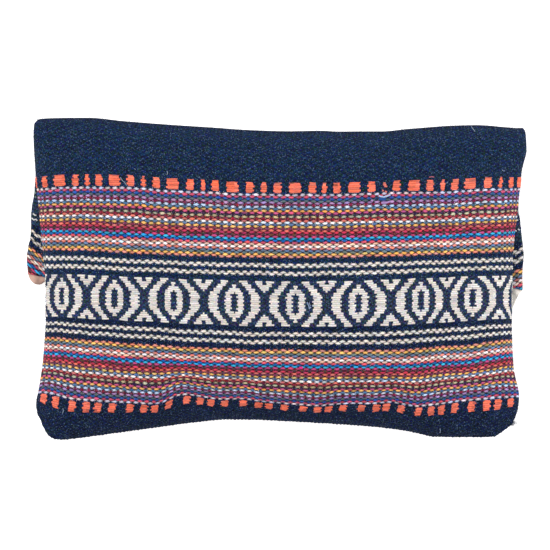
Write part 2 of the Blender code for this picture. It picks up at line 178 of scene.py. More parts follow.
class Finish:
    # one material and its tree; its node method adds every node but the Math and Mix ones
    def __init__(self, name):
        self.material = bpy.data.materials.new(name)
        self.material.use_nodes = True
        self.tree = self.material.node_tree
        self.surface = self.tree.nodes["Principled BSDF"]

    def node(self, kind, settings=None, **values):
        made = self.tree.nodes.new(kind)
        for name, value in (settings or {}).items():
            setattr(made, name, value)
        self.fill(made, values)
        return made

    def fill(self, node, values):
        # links or plain values into a node's inputs
        for name, value in values.items():
            feed(self.socketOf(node, name), value)

    def socketOf(self, node, name):
        # sockets are named without spaces here: baseColor is "Base Color"
        plain = name.lower()
        for socket in node.inputs:
            if socket.enabled and socket.name.lower().replace(" ", "") == plain:
                return socket
        raise KeyError(f"{node.name} has no input {name}")

    def wire(self, node, name):
        free = [socket for socket in node.outputs if socket.enabled and socket.name == name]
        return Wire(self.tree, free[0])

    def into(self, **values):
        self.fill(self.surface, values)

    def objectPlace(self):
        return self.wire(self.node("ShaderNodeTexCoord"), "Object")

    def attribute(self, name, output="Color"):
        return self.wire(self.node("ShaderNodeAttribute", {"attribute_name": name}), output)

    def noise(self, place, scale, detail, output="Fac", **values):
        made = self.node("ShaderNodeTexNoise", None, vector=place, scale=scale, detail=detail, **values)
        return self.wire(made, output)

    def axes(self, vector):
        split = self.node("ShaderNodeSeparateXYZ", None, vector=vector)
        return [self.wire(split, axis) for axis in "XYZ"]

    def lightness(self, colour):
        return self.wire(self.node("ShaderNodeRGBToBW", None, color=colour), "Val")

    def spread(self, value, reach, low, high, kind="LINEAR"):
        # low up to the start of the reach, high from its end on
        made = self.node("ShaderNodeMapRange", {"interpolation_type": kind}, value=value,
                         frommin=reach[0], frommax=reach[1], tomin=low, tomax=high)
        return self.wire(made, "Result")

    def ramp(self, value, stops):
        # a colour between two stops, each a place and its colour
        made = self.node("ShaderNodeValToRGB", None, fac=value)
        for stop, (place, colour) in zip(made.color_ramp.elements, stops):
            stop.position = place
            stop.color = colour
        return self.wire(made, "Color")

    def blendColour(self, kind, factor, first, second):
        # two colours, links or plain ones, through a Mix node, whose inputs 6 and 7 they are
        made = self.tree.nodes.new("ShaderNodeMix")
        made.data_type = "RGBA"
        made.blend_type = kind
        for place, value in ((0, factor), (6, first), (7, second)):
            feed(made.inputs[place], value)
        return Wire(self.tree, made.outputs[2])

    def lit(self, colour, red, green, blue):
        # a colour whose three shares are made lighter or darker
        light = self.node("ShaderNodeCombineXYZ", None, x=red, y=green, z=blue)
        return self.blendColour("MULTIPLY", 1.0, colour, self.wire(light, "Vector"))

    def bump(self, height, strength, distance):
        made = self.node("ShaderNodeBump", None, height=height, strength=strength, distance=distance)
        self.into(normal=self.wire(made, "Normal"))


def linear(red, green, blue):
    # a colour as it looks on the screen, 0 to 255, made linear
    shares = [value / 255 for value in (red, green, blue)]
    return [share / 12.92 if share <= 0.04045 else ((share + 0.055) / 1.055) ** 2.4 for share in shares]


wovenLook = {
    "floatWidth": 0.70,      # half the width of a float, in columns
    "floatHeight": 0.58,     # and half its height, in picks
    "creamWidth": 0.76,      # pale yarn is softer and spreads
    "creamLight": (0.5, 0.75),  # brightness over which a yarn becomes pale
    "lensPower": 1.5,        # 1 is a diamond, 2 an ellipse
    "fray": 0.7,             # how ragged a float is at its edge
    "figureFray": 0.4,       # and the share of that at the end of a smooth figure
    "creaseShade": 0.055,    # painted shade: how much colour is left down between the floats
    "creaseReach": (-0.5, 0.5),
    "darkCrease": 0.40,      # and where the yarn itself is dark
    "darkLight": (0.03, 0.16),  # brightness over which a yarn stops being dark
    "ridgeShade": 0.64,      # painted shade between the picks of a smooth figure
    "ridgeReach": (-1.0, 0.2),
    "ridgeHeight": 0.4,
    "figureHeight": 0.5,
    "wander": 0.8,           # how far the yarns stray from their even places
    "wanderScale": 620.0,
    "fibreShade": 0.5,
    "fibreScale": 2300.0,
    "fibreRoughness": 0.7,
    "fibreHeight": 0.6,
    "unevenShade": 0.35,
    "unevenScale": 170.0,
    "grain": 5.0,            # specks of other tints, mostly in the dark yarns
    "paleGrain": 0.14,
    "grainScale": 1250.0,
    "grainStretch": 0.55,
    "lint": 1.0,
    "lintColour": (0.10, 0.16, 0.26, 1),
    "lintReach": (0.60, 0.74),
    "lintScale": 1400.0,
    "twist": 7.0,            # turns of the yarn across one float
    "twistSlant": 2.6,
    "twistFray": 1.5,
    # painted highlight and shade along the yarn's turns
    "twistShade": 0.05,
    "twistHeight": 0.08,
    "deepest": -1.2,
    "bump": (0.5, 0.4 * mm),
    "roughness": 0.9,
    "sheen": 0.03,
    "sheenRoughness": 0.5,
    "specular": 0.12,
}


def wovenFinish():
    look = wovenLook
    made = Finish("wovenCotton")
    column, pick, _ = made.axes(made.wire(made.node("ShaderNodeUVMap", {"uv_map": "threads"}), "UV"))
    yarn = made.attribute("yarn")
    beside = made.attribute("beside")
    satin = made.attribute("satin", "Fac")
    change = made.attribute("change", "Fac")
    place = made.objectPlace()
    fibre = made.noise(place, look["fibreScale"], 3.0, roughness=look["fibreRoughness"])
    uneven = made.noise(place, look["unevenScale"], 2.0)
    fluff = made.noise(place, look["lintScale"], 1.0)
    drawn = made.node("ShaderNodeMapping", None, vector=place, scale=(1.0, look["grainStretch"], 1.0))
    specks = made.axes(made.noise(made.wire(drawn, "Vector"), look["grainScale"], 3.0, "Color"))
    strayed = made.axes(made.noise(place, look["wanderScale"], 2.0, "Color"))
    across = column + (strayed[0] - 0.5) * look["wander"]
    along = pick + (strayed[1] - 0.5) * look["wander"]
    # each float is a lens; those of the next column lie half a step up
    aside = (across.fraction() - 0.5).size()
    ahead = (((along + across.floor()) / 2).fraction() * 2 - 1).size()
    frayed = (fibre - 0.5) * look["fray"]
    power = look["lensPower"]
    width = made.spread(made.lightness(yarn), look["creamLight"], look["floatWidth"], look["creamWidth"])
    own = 1 - (aside / width) ** power - (ahead / look["floatHeight"]) ** power + frayed
    other = 1 - ((1 - aside) / width) ** power - ((1 - ahead) / look["floatHeight"]) ** power
    pastLens = other.above(own)
    pastEdge = ((column * 2).fraction() + frayed * look["figureFray"]).above(change)
    shown = made.blendColour("MIX", pastLens * (1 - satin) + pastEdge * satin, yarn, beside)
    dark = made.spread(made.lightness(shown), look["darkLight"], 1.0, 0.0)
    # painted shade: the colour darkens from each float's top down into the creases around it, less so for
    # dark yarns; lens carries that shade
    paintedCreaseShade = dark * (look["darkCrease"] - look["creaseShade"]) + look["creaseShade"]
    ridge = (along * (2 * math.pi)).cosine()
    floats = own.larger(other)
    lens = made.spread(floats, look["creaseReach"], paintedCreaseShade, 1.0, "SMOOTHSTEP")
    # painted shade in the grooves between the picks of a smooth figure
    paintedRidgeShade = made.spread(ridge + frayed, look["ridgeReach"], look["ridgeShade"], 1.0, "SMOOTHSTEP")
    height = floats * (1 - satin) + (ridge * look["ridgeHeight"] + look["figureHeight"]) * satin
    # the yarn's turns, as bumps and as painted highlight and shade in its colour
    twist = ((across * look["twist"] + along * look["twistSlant"] + fibre * look["twistFray"])
             * (2 * math.pi)).sine()
    light = (lens * (1 - satin) + paintedRidgeShade * satin) * (1 + twist * look["twistShade"])
    light = light * (1 + (fibre - 0.5) * look["fibreShade"] + (uneven - 0.5) * look["unevenShade"])
    grain = (dark + look["paleGrain"]) * look["grain"]
    tinted = made.lit(shown, *(light * (1 + (speck - 0.5) * grain) for speck in specks))
    flecks = made.spread(fluff, look["lintReach"], 0.0, look["lint"], "SMOOTHSTEP")
    made.into(baseColor=made.blendColour("MIX", flecks * dark, tinted, look["lintColour"]),
              roughness=look["roughness"], sheenWeight=look["sheen"],
              sheenRoughness=look["sheenRoughness"], specularIorLevel=look["specular"])
    made.bump(height.larger(look["deepest"]) + twist * look["twistHeight"] + fibre * look["fibreHeight"],
              *look["bump"])
    return made.material


plainWeaveLook = {
    # painted shade of the crossing threads
    "weaveShade": 0.10,
    "grainScale": 900.0,
    "grainShade": 0.24,
    "grainHeight": 0.6,
    "broadScale": 60.0,
    "broadShade": 0.12,
    "middle": 0.82,
    "sheen": 0.2,
    "bump": (0.5, 0.12 * mm),
}


def plainWeaveFinish(name, colour, threadSize, roughness):
    # fine plain weave for lining, tabs and zip tape, on Object coordinates
    look = plainWeaveLook
    made = Finish(name)
    place = made.objectPlace()
    x, y, z = made.axes(place)
    turn = 2 * math.pi / threadSize
    weave = (x * turn).sine() * ((y + z) * turn).sine()
    noise = made.noise(place, look["grainScale"], 4.0)
    broad = made.noise(place, look["broadScale"], 2.0)
    # painted shade of the crossing threads, times grain and broad tone that differ at random
    light = (1 + weave * look["weaveShade"]) * (look["middle"] + noise * look["grainShade"]
                                                + broad * look["broadShade"])
    made.into(baseColor=made.lit((*colour, 1), light, light, light), roughness=roughness,
              sheenWeight=look["sheen"])
    made.bump(weave + noise * look["grainHeight"], *look["bump"])
    return made.material


nylonLook = {
    "stops": [(0.25, (0.30, 0.17, 0.13, 1)), (0.75, (0.47, 0.29, 0.22, 1))],
    "grainScale": 700.0,
    "roughness": 0.42,
    "roughnessSpread": 0.12,
    "coat": 0.15,
    "bump": (0.15, 0.1 * mm),
}


def nylonFinish():
    look = nylonLook
    made = Finish("zipNylon")
    noise = made.noise(made.objectPlace(), look["grainScale"], 3.0)
    made.into(baseColor=made.ramp(noise, look["stops"]), coatWeight=look["coat"],
              roughness=look["roughness"] + noise * look["roughnessSpread"])
    made.bump(noise, *look["bump"])
    return made.material


brassLook = {
    "stops": [(0.32, (0.26, 0.20, 0.11, 1)), (0.62, (0.62, 0.52, 0.34, 1))],
    "wearScale": 420.0,
    "scratchScale": 2400.0,
    "roughness": 0.52,
    "wornPolish": 0.28,
    "scratched": 0.08,
    "bump": (0.12, 0.08 * mm),
}


def brassFinish():
    look = brassLook
    made = Finish("zipBrass")
    place = made.objectPlace()
    wear = made.noise(place, look["wearScale"], 5.0)
    fine = made.noise(place, look["scratchScale"], 2.0)
    made.into(baseColor=made.ramp(wear, look["stops"]), metallic=1.0,
              roughness=look["roughness"] - wear * look["wornPolish"] + fine * look["scratched"])
    made.bump(fine + wear, *look["bump"])
    return made.material


looseYarnLook = {"grainScale": 1100.0, "spread": 0.9, "roughness": 0.9, "bump": (0.3, 0.1 * mm)}


def yarnFinish(name, colour):
    # loose cotton: one colour, lighter and darker along the yarn
    look = looseYarnLook
    made = Finish(name)
    noise = made.noise(made.objectPlace(), look["grainScale"], 3.0)
    light = 1 + (noise - 0.5) * look["spread"]
    made.into(baseColor=made.lit((*colour, 1), light, light, light), roughness=look["roughness"])
    made.bump(noise, *look["bump"])
    return made.material


# The bands that are woven into the cloth

# colours of the yarns on the screen, 0 to 255
yarns = {
    "navy": (17, 41, 74),
    # darker navy at the edges of the orange dashes: painted shadow around them
    "deepNavy": (18, 35, 63),
    # darker navy where the bands run below their middle: painted shade towards the bottom
    "footNavy": (12, 31, 66),
    "figureNavy": (43, 57, 86),  # between the cream figures, whose lint lies over it
    "cream": (231, 224, 219),
    "orange": (255, 124, 98),
}

# how much the shots of a yarn differ from each other, in light and in warmth
yarnSpread = {"cream": (0.09, 0.03), "stripes": (0.16, 0.06), "others": (0.13, 0.08)}
yarnDraws = (400, 200)       # shots and columns after which their differences start again
yarnDrift = 0.12             # how far the dye changes along a coloured yarn
driftColumns = 7
figureColumns = 3            # columns of a smooth figure that share one shade
darkestShot = 0.3

# the fine stripes, from the orange dashes towards the zigzags
stripeYarns = [
    (214, 208, 230), (204, 82, 116), (44, 86, 160), (92, 108, 116),
    (178, 138, 190), (126, 34, 68), (202, 212, 236), (78, 118, 158),
    (246, 178, 102), (202, 90, 138), (60, 40, 68), (196, 182, 152),
    (134, 36, 58), (222, 120, 114), (246, 242, 246), (92, 118, 160),
    (246, 192, 114), (118, 52, 88), (220, 116, 110), (200, 60, 92),
    (90, 58, 60), (200, 74, 128), (54, 172, 222), (26, 104, 182),
    (226, 90, 112), (238, 194, 178), (252, 246, 250), (236, 142, 132),
    (108, 130, 170), (114, 132, 136), (252, 196, 110), (236, 150, 136),
]

dyedYarns = {yarns["orange"], *stripeYarns}

bands = {
    "columns": 137,          # floats across the cloth between its side seams
    "pick": 0.0012545,       # from one shot of weft to the next
    "repeatColumns": 16,     # one oval of the motif and its arcs
    "firstOval": 8.5,        # column that the first oval is centred on
    "repeatPicks": 184,      # the whole set of bands starts again after these
    "motif": 12,             # picks from the motif's middle to its edge
    "zigzags": (15, 16, 19, 20),
    "stripesFrom": 24,
    "stripesTo": 55,
    "orangeMiddle": 58.3,    # pick in the middle of the orange dashes
    "orangeHalf": 2.5,       # and half their height in picks
    "tuck": 0.12,            # the cream figures pull in by this at their edges
    "serration": 0.24,       # how far the picks of a smooth figure reach past it
    "serrated": 0.6,         # the share of that which alternates; as much again is uneven
    "dashSerrated": 0.7,     # and what the dashes have of the first
    "dashRounding": 0.25,
    "dashShift": (0.16, 0.12),  # how far a dash strays, pick by pick and as a whole
    "wornDashes": ((5, 8), (6, -8), (0, -8)),  # repeats and places where one dash has worn away
    "nearly": 0.001,         # keeps a figure's edge from falling between two half columns
    "plainSide": 6,          # columns at a side that show no figures on the flap's inner cloth
}

# the smooth cream figures at each pick from the motif's middle: spans in columns
# from the oval's middle, then from the middle between two ovals
ovalSpans = {
    (0, 1, 2, 3, 4): [(0.7, 2.5), (4.3, 6.75)],
    (5,): [(0.2, 2.3), (3.9, 6.2)],
    (6,): [(0.0, 1.9), (3.55, 5.75)],
    (7,): [(0.0, 1.35), (3.3, 5.4)],
    (8,): [(0.0, 0.62), (2.75, 4.8)],
    (9,): [(0.0, 0.55), (2.4, 4.4)],
    (10,): [(1.75, 3.8)],
    (11,): [(1.5, 3.55)],
}
betweenSpans = {
    (6,): [(0.0, 0.5)],
    (7,): [(0.0, 0.9)],
    (8,): [(0.0, 1.4)],
    (9,): [(0.0, 1.8)],
    (10,): [(0.35, 2.2)],
    (11,): [(0.5, 2.5)],
}

# (columns from the oval's middle, half width) of the orange dashes
upperDashes = [(0, 1.55), (4.55, 0.97), (-4.55, 0.97), (8, 0.57), (-8, 0.57)]
lowerDashes = [(-2.5, 0.98), (2.5, 0.98), (6.5, 0.98), (-6.5, 0.98), (9.5, 0.98)]


jitterTurns = (12.9898, 78.233, 37.719)
jitterSpread = 43758.5453


def jitter(*numbers):
    # an uneven number from -1 to 1 that is always the same for the same place
    turn = sum(number * factor for number, factor in zip(numbers, jitterTurns))
    return (math.sin(turn) * jitterSpread) % 2 - 1


def smoothSpans(pick, repeat):
    # the yarn of the smooth figures at this height and where they lie, from -8 to 8
    half = bands["repeatColumns"] / 2
    rise = abs(pick)
    step = round(rise)
    uneven = bands["serration"] * bands["serrated"]
    wider = uneven if step % 2 else -uneven
    if rise < bands["motif"] - 0.5:
        found = []
        for steps, spans in ovalSpans.items():
            for low, high in spans if step in steps else []:
                found += [(low, high), (-high, -low)] if low else [(-high, high)]
        for steps, spans in betweenSpans.items():
            for low, high in spans if step in steps else []:
                meet = 0 if low else 1
                found += [(half - high, half - low + meet), (low - half - meet, high - half)]
        wider -= bands["tuck"]
        return "cream", [(low - wider + uneven * jitter(low, step, repeat),
                          high + wider + uneven * jitter(high, step, repeat)) for low, high in found]
    beyond = rise - bands["orangeMiddle"]
    if abs(beyond) < bands["orangeHalf"]:
        found = []
        for middle, wide in upperDashes if pick > 0 else lowerDashes:
            if pick > 0 and (repeat, middle) in bands["wornDashes"]:
                continue
            rounded = (bands["dashRounding"] * (abs(beyond) / bands["orangeHalf"]) ** 4
                       - wider * bands["dashSerrated"])
            byPick, byDash = bands["dashShift"]
            shift = byPick * jitter(middle, step, repeat) + byDash * jitter(middle, repeat)
            found.append((middle + shift - wide + rounded, middle + shift + wide - rounded))
        return "orange", found
    return None, []


def floatYarn(pick):
    # the colour of a float of the plain weave on the screen
    rise = abs(pick)
    if rise in bands["zigzags"]:
        return yarns["cream"]
    if rise < bands["motif"]:
        return yarns["figureNavy"]
    if bands["stripesFrom"] <= rise <= bands["stripesTo"]:
        return stripeYarns[int(bands["stripesTo"] - rise)]
    # below the middle of the bands the navy is darker: painted shade towards the bottom
    return yarns["navy" if pick > 0 else "footNavy"]


def neighbours(column):
    # the column that a place lies in, and the next one on its nearer side
    whole = math.floor(column)
    return whole, whole + (1 if column - whole > 0.5 else -1)


def nearestFloat(pick, column):
    # floats stand where column and pick are not both even or both odd
    return round((pick - column - 1) / 2) * 2 + column + 1


def cellOf(column, pick, figured=True):
    # what one half column shows at one half pick: its yarn, the yarn beside it, whether it
    # is smooth, and how far across it the yarn changes
    half = bands["repeatColumns"] / 2
    period = bands["repeatPicks"]
    pick = (pick + period / 2) % period - period / 2
    fromFirst = math.floor(column * 2) / 2 - bands["firstOval"] + half
    repeat = math.floor(fromFirst / (2 * half))
    start = fromFirst % (2 * half) - half
    kind, spans = smoothSpans(pick, repeat) if figured else (None, [])
    if kind == "orange" and pick > 0 and not 0.5 < column < bands["columns"] - 1:
        return yarns["orange"], yarns["orange"], 1, 1.0
    inside = any(low <= start + bands["nearly"] < high for low, high in spans)
    edges = [edge for span in spans for edge in span if start < edge < start + 0.5]
    if inside or edges:
        change = (min(edges) - start) * 2 if edges else 1.0
        # beside the orange dashes the ground is darker navy, as painted shadow
        ground = "figureNavy" if kind == "cream" else "deepNavy"
        first, second = (kind, ground) if inside else (ground, kind)
        return yarns[first], yarns[second], 1, change
    return *(floatYarn(nearestFloat(pick, near)) for near in neighbours(column)), 0, 1.0


def isFigured(column, plainSides):
    margin = bands["plainSide"] if plainSides else -bands["columns"]
    return margin < column < bands["columns"] - margin


def yarnShade(colour, spot, draws):
    # one shot of a yarn at its place in the cloth, as a linear colour
    kind = "stripes" if colour in dyedYarns else "cream" if colour == yarns["cream"] else "others"
    spread, warmth = yarnSpread[kind]
    light, warm = draws[spot[0] % yarnDraws[0], spot[1] % yarnDraws[1]]
    light = max(1 + light * spread, darkestShot)
    if kind == "stripes":
        warm += jitter(spot[0], spot[1] // driftColumns) * yarnDrift / warmth
    red, green, blue = linear(*colour)
    return red * light * (1 + warm * warmth), green * light, blue * light * (1 - warm * warmth)


def clothColours(columnOf, pickOf, seed, plainSides):
    # the linear colours of each face of a cloth, and how they meet in it
    draws = np.random.default_rng(seed).normal(0.0, 1.0, (*yarnDraws, 2))
    made = {layer: np.ones((len(columnOf), 4), np.float32) for layer in ("yarn", "beside")}
    made.update({layer: np.ones(len(columnOf), np.float32) for layer in ("satin", "change")})
    cells = {}
    shades = {}
    for face, (column, pick) in enumerate(zip(columnOf, pickOf)):
        key = (math.floor(column * 2), math.floor(pick * 2))
        if key not in cells:
            cells[key] = cellOf(column, pick, isFigured(column, plainSides))
        own, beside, satin, change = cells[key]
        for layer, colour, near in zip(("yarn", "beside"), (own, beside), neighbours(column)):
            spot = (round(pick), near // figureColumns) if satin else (nearestFloat(pick, near), near)
            if (colour, spot) not in shades:
                shades[colour, spot] = yarnShade(colour, spot, draws)
            made[layer][face, :3] = shades[colour, spot]
        made["satin"][face] = satin
        made["change"][face] = change
    return made


def gridMesh(name, places):
    # a smooth sheet through a grid of points, with the row and column of each vertex
    rows, columns = places.shape[:2]
    bm = bmesh.new()
    bmesh.ops.create_grid(bm, x_segments=columns - 1, y_segments=rows - 1, size=0.5)
    mesh = bpy.data.meshes.new(name)
    bm.to_mesh(mesh)
    bm.free()
    flat = np.empty(len(mesh.vertices) * 3)
    mesh.vertices.foreach_get("co", flat)
    flat = flat.reshape(-1, 3)
    column = np.rint((flat[:, 0] + 0.5) * (columns - 1)).astype(int)
    row = np.rint((flat[:, 1] + 0.5) * (rows - 1)).astype(int)
    mesh.vertices.foreach_set("co", places[row, column].ravel())
    mesh.shade_smooth()
    return mesh, row, column


def shownPiece(data, material=None):
    # an object for a mesh, curve, lamp or camera
    if material:
        data.materials.append(material)
    made = bpy.data.objects.new(data.name, data)
    bpy.context.scene.collection.objects.link(made)
    return made


def clothPiece(name, places, threads, material, seed, plainSides=False):
    # a cloth from a grid: places holds the points, threads their (column, pick)
    mesh, row, column = gridMesh(name, places)
    corners = np.empty(len(mesh.loops), int)
    mesh.loops.foreach_get("vertex_index", corners)
    corners = corners.reshape(-1, 4)
    onCloth = threads[row, column]
    threadMap = mesh.uv_layers.new(name="threads")
    threadMap.data.foreach_set("uv", onCloth[corners].reshape(-1).astype(np.float32))
    middle = onCloth[corners].mean(axis=1)
    for layer, values in clothColours(middle[:, 0], middle[:, 1], seed, plainSides).items():
        kind, field = ("FLOAT_COLOR", "color") if values.ndim == 2 else ("FLOAT", "value")
        mesh.attributes.new(layer, kind, "FACE").data.foreach_set(field, values.ravel())
    mesh.update()
    return shownPiece(mesh, material)


def normals(places):
    # outward normals of a grid whose columns run along +X
    across = np.gradient(places, axis=1)
    along = np.gradient(places, axis=0)
    return unit(np.cross(across, along))


reliefLook = {
    "floatPower": 0.75,      # below 1 a float is fuller than a wave
    "figureHeight": 1.0,
    "figureRidge": 0.35,
    "uneven": 0.35,
    "unevenWave": (9.0, 2.3),  # its length in picks, and how much shorter it is across
    "seed": 5,
    "lookAround": 0.2,       # how far from a point its figure is looked up
}


def smoothShare(threads):
    # how far each point lies within a smooth figure
    away = reliefLook["lookAround"]
    known = {}
    made = np.empty(threads.shape[:2])
    for row in range(made.shape[0]):
        for column in range(made.shape[1]):
            key = (threads[row, column, 0] % bands["repeatColumns"], threads[row, column, 1])
            if key not in known:
                around = [cellOf(key[0] + aside, key[1] + ahead)
                          for aside in (-away, away) for ahead in (-away, away)]
                known[key] = sum(satin for _, _, satin, _ in around) / len(around)
            made[row, column] = known[key]
    return made


def weaveRelief(places, threads, amount):
    # the floats stand up and the crossings between them sink
    look = reliefLook
    column = threads[..., 0]
    pick = threads[..., 1]
    bead = -np.sin(math.pi * column) * np.cos(math.pi * pick)
    bead = np.sign(bead) * np.abs(bead) ** look["floatPower"]
    smooth = smoothShare(threads)
    figure = look["figureHeight"] + look["figureRidge"] * np.cos(2 * math.pi * pick)
    bead = bead * (1 - smooth) + figure * smooth
    wave, shorter = look["unevenWave"]
    uneven = 1 + look["uneven"] * ripple(column * shorter, pick, wave, look["seed"])
    return places + normals(places) * (bead * uneven * amount)[..., None]


# (inset, depth) of the cloth that is turned in at a side seam
seamTurn = [(0.35 * mm, 0.6 * mm), (1.2 * mm, 1.0 * mm), (5.0 * mm, 1.0 * mm)]


def turnInSides(places, threads):
    # the seam allowances at the two sides, folded in behind the edge
    along = np.gradient(places, axis=0)
    along[..., 0] = 0
    inward = unit(-np.cross((1.0, 0.0, 0.0), along))
    placed = places
    for inset, depth in seamTurn:
        shift = np.array((inset, 0, 0))
        left = placed[:, :1] + shift + inward[:, :1] * depth
        right = placed[:, -1:] - shift + inward[:, -1:] * depth
        places = np.concatenate([left, places, right], axis=1)
        threads = np.concatenate([threads[:, :1] - (1, 0), threads, threads[:, -1:] + (1, 0)], axis=1)
    return places, threads


def addRows(places, threads, shifts, atEnd):
    # rows beyond the first or last one, each moved by its (y, z) from it
    row = -1 if atEnd else 0
    extra = np.array([places[row] + (0.0, *shift) for shift in shifts])
    marks = np.array([threads[row] + (0, step if atEnd else -step) for step in range(1, len(shifts) + 1)])
    if atEnd:
        return np.concatenate([places, extra]), np.concatenate([threads, marks])
    return np.concatenate([extra[::-1], places]), np.concatenate([marks[::-1], threads])


# The body of the bag as it is seen from above, in millimetres: the top and bottom edges
# as (across, height), the side edges as (height, across)
bodyShape = {
    "topEdge": [(-152, 94.5), (-150, 96.9), (-143.1, 98.7), (-131.9, 99.0), (-115.9, 99.1), (-94.9, 97.1),
                (-62.7, 94.6), (-35, 92.8), (-20.1, 91.7), (8.3, 90.8), (27, 91.1), (39, 90.6), (49, 90.7),
                (65.2, 90.7), (81.3, 92.2), (112.8, 94.4), (123.9, 94.6), (139.4, 93.5), (150.5, 92.2),
                (154, 89.9)],
    "bottomEdge": [(-146.9, -84.9), (-144.4, -91.1), (-141.4, -96.8), (-137.5, -99.3), (-132.5, -99.9),
                   (-126.6, -99.4), (-110.6, -97.3), (-78.8, -92.9), (-46.7, -88.7), (-30.6, -87.3),
                   (-9.6, -87.6), (2, -88.2), (28.1, -89.6), (59.6, -91.8), (76, -93.8), (86.2, -95.6),
                   (97.3, -98.0), (126, -98.3), (134.4, -98.0), (138.7, -95.5), (144.9, -90.9)],
    "leftEdge": [(98.5, -147.0), (95, -149.8), (89, -150.2), (64.3, -148.9), (42, -146.8), (14.2, -144.2),
                 (-6.8, -142.6), (-22.2, -142.6), (-49.1, -144.2), (-70.5, -147.3), (-78.1, -148.6),
                 (-84.6, -147.4), (-90.5, -145.0), (-96.4, -141.8), (-98.9, -138.5), (-99.7, -133.0)],
    "rightEdge": [(94, 151.5), (89.8, 154.0), (79.1, 154.6), (67.4, 151.9), (42, 149.2), (24.7, 147.1),
                  (9.9, 146.0), (-27.8, 145.5), (-54.4, 146.6), (-73.5, 150.0), (-81, 149.2),
                  (-90.8, 144.9), (-95.2, 139.5), (-97.7, 134.4)],
    # how the rows of picks bow across the cloth: (across, height) at some picks
    "rows": {
        58.9: [(-143, 59.7), (-133, 60.8), (-111, 61.1), (-60, 58.6), (-10, 56.3), (30, 56.2), (80, 57.6),
               (120, 58.7), (131, 59.5), (146, 59.6)],
        32: [(-144, 27.6), (-133.8, 28.1), (-70, 25.0), (8.3, 22.9), (80, 24.0), (144.3, 27.0)],
        0: [(-133.2, -11.4), (-26.3, -15.1), (12.1, -16.1), (60, -15.2), (122.1, -12.4)],
        -32: [(-142.5, -45.4), (-90.5, -50.1), (8.3, -53.9), (45, -54.2), (78, -53.9), (109, -51.8),
              (127.6, -49.8), (144.3, -46.8)],
        -58.9: [(-145.1, -74.2), (-137.4, -76.8), (-126.5, -79.4), (-117.3, -80.2), (-101.8, -80.6),
                (-90.5, -80.7), (-81.2, -81.1), (-74.6, -81.3), (-70.4, -80.4), (-66.3, -78.6),
                (-62, -76.2), (-56, -75.4), (-47.3, -76.0), (-40.6, -77.4), (-31.8, -78.0), (-21, -77.6),
                (-11.2, -78.8), (4.8, -80.2), (16.1, -81.2), (25.4, -81.9), (41.9, -80.7), (61.9, -80.8),
                (68.1, -80.0), (76.8, -81.2), (87.7, -83.0), (95.9, -82.7), (102.6, -81.9), (110.8, -80.6),
                (120.7, -79.5), (129.9, -79.1), (145.4, -77.3)],
    },
    # where the columns lie between the sides: (column, share) at the lower, middle and upper rows
    "lowerColumns": [(0, 0), (8.5, 0.0555), (24.5, 0.1753), (40.5, 0.2920), (56.5, 0.4085), (72.5, 0.5319),
                     (88.5, 0.6550), (104.5, 0.7726), (120.5, 0.8845), (134, 0.9826), (137, 1)],
    "middleColumns": [(0, 0), (1.75, 0.0010), (4.2, 0.0096), (8.5, 0.0351), (12.8, 0.0617), (15.25, 0.0794),
                      (24.5, 0.1477), (40.5, 0.2750), (56.5, 0.4036), (72.5, 0.5358), (88.5, 0.6706),
                      (104.5, 0.8052), (120.5, 0.9148), (123, 0.9355), (124.8, 0.9495), (127.25, 0.9655),
                      (129.75, 0.9805), (132.2, 0.9925), (134, 0.9984), (137, 1)],
    "upperColumns": [(0, 0), (3.95, 0.0171), (8.5, 0.0500), (24.5, 0.1619), (40.5, 0.2829), (56.5, 0.4056),
                     (72.5, 0.5342), (88.5, 0.6569), (104.5, 0.7795), (120.5, 0.8968), (131.95, 0.9798),
                     (137, 1)],
    "halfWidth": 147.0,      # the rows' heights are worked out from here to here across
    "topPick": 99.5,
    "bottomPick": -80.0,
    # how the rows close up towards the ends: shares of the picks from the last known row on
    "aheadShares": (0.2, 0.45, 0.7, 0.87, 1.0),
    "behindShares": (1.0, 0.85, 0.6, 0.3),
    "towardsUpper": (10, 59),  # picks over which the middle columns change to the upper ones
    "towardsLower": (-20, -59),
}

# levels and depths in metres, as in the solids
heights = {
    "cloth": 0.0022,
    "crown": 0.0470,
    "sideSeam": 0.0130,
    "bottomSeam": 0.0140,
    "topRoll": 0.0230,
    "topRollDepth": 0.0200,
    "edgeGap": 0.00125,
    "edgeFold": 0.0050,
    "flapBack": 0.0071,
    "bodyFloor": 0.0114,
    "innerFold": 0.0260,
    "bellyDrop": 0.0080,
    "bellyStart": 0.0420,
    "bellyReach": 0.0260,
    "footReach": 0.0240,
    "footPower": 2.2,
    "topDip": 0.0055,
    "bottomRise": 0.0105,
    "bodyHeight": 0.1945,
    "mouth": -0.00175,
    "mouthLevel": 0.0058,
}
halfCloth = heights["cloth"] / 2

# powers and roundness of the stuffed form; higher powers are fuller up to the seams
fullness = {
    "along": (3.2, 0.55),
    "acrossPower": 3.2,
    "acrossRoundness": 0.6,
    "flapPower": 20.0,
    "tuck": (6.0, 0.6),
    "sideShare": (0.15, 0.9),  # from the middle out, where its path gives way to the side seams'
}


def columnShare(columns, picks):
    # how far across the bag each column lies, from 0 at the left to 1
    lower, middle, upper = (smoothCurve(bodyShape[band + "Columns"], columns)[None, :]
                            for band in ("lower", "middle", "upper"))
    towardsTop = mix(middle, upper, smoothStep(*bodyShape["towardsUpper"], picks)[:, None])
    return mix(towardsTop, lower, smoothStep(*bodyShape["towardsLower"], picks)[:, None])


def softened(row, reach=5):
    # a row of heights with its sharp turns rounded off
    weights = np.hanning(2 * reach + 3)[1:-1]
    longer = np.pad(row, reach, mode="reflect", reflect_type="odd")
    return np.convolve(longer, weights / weights.sum(), "valid")


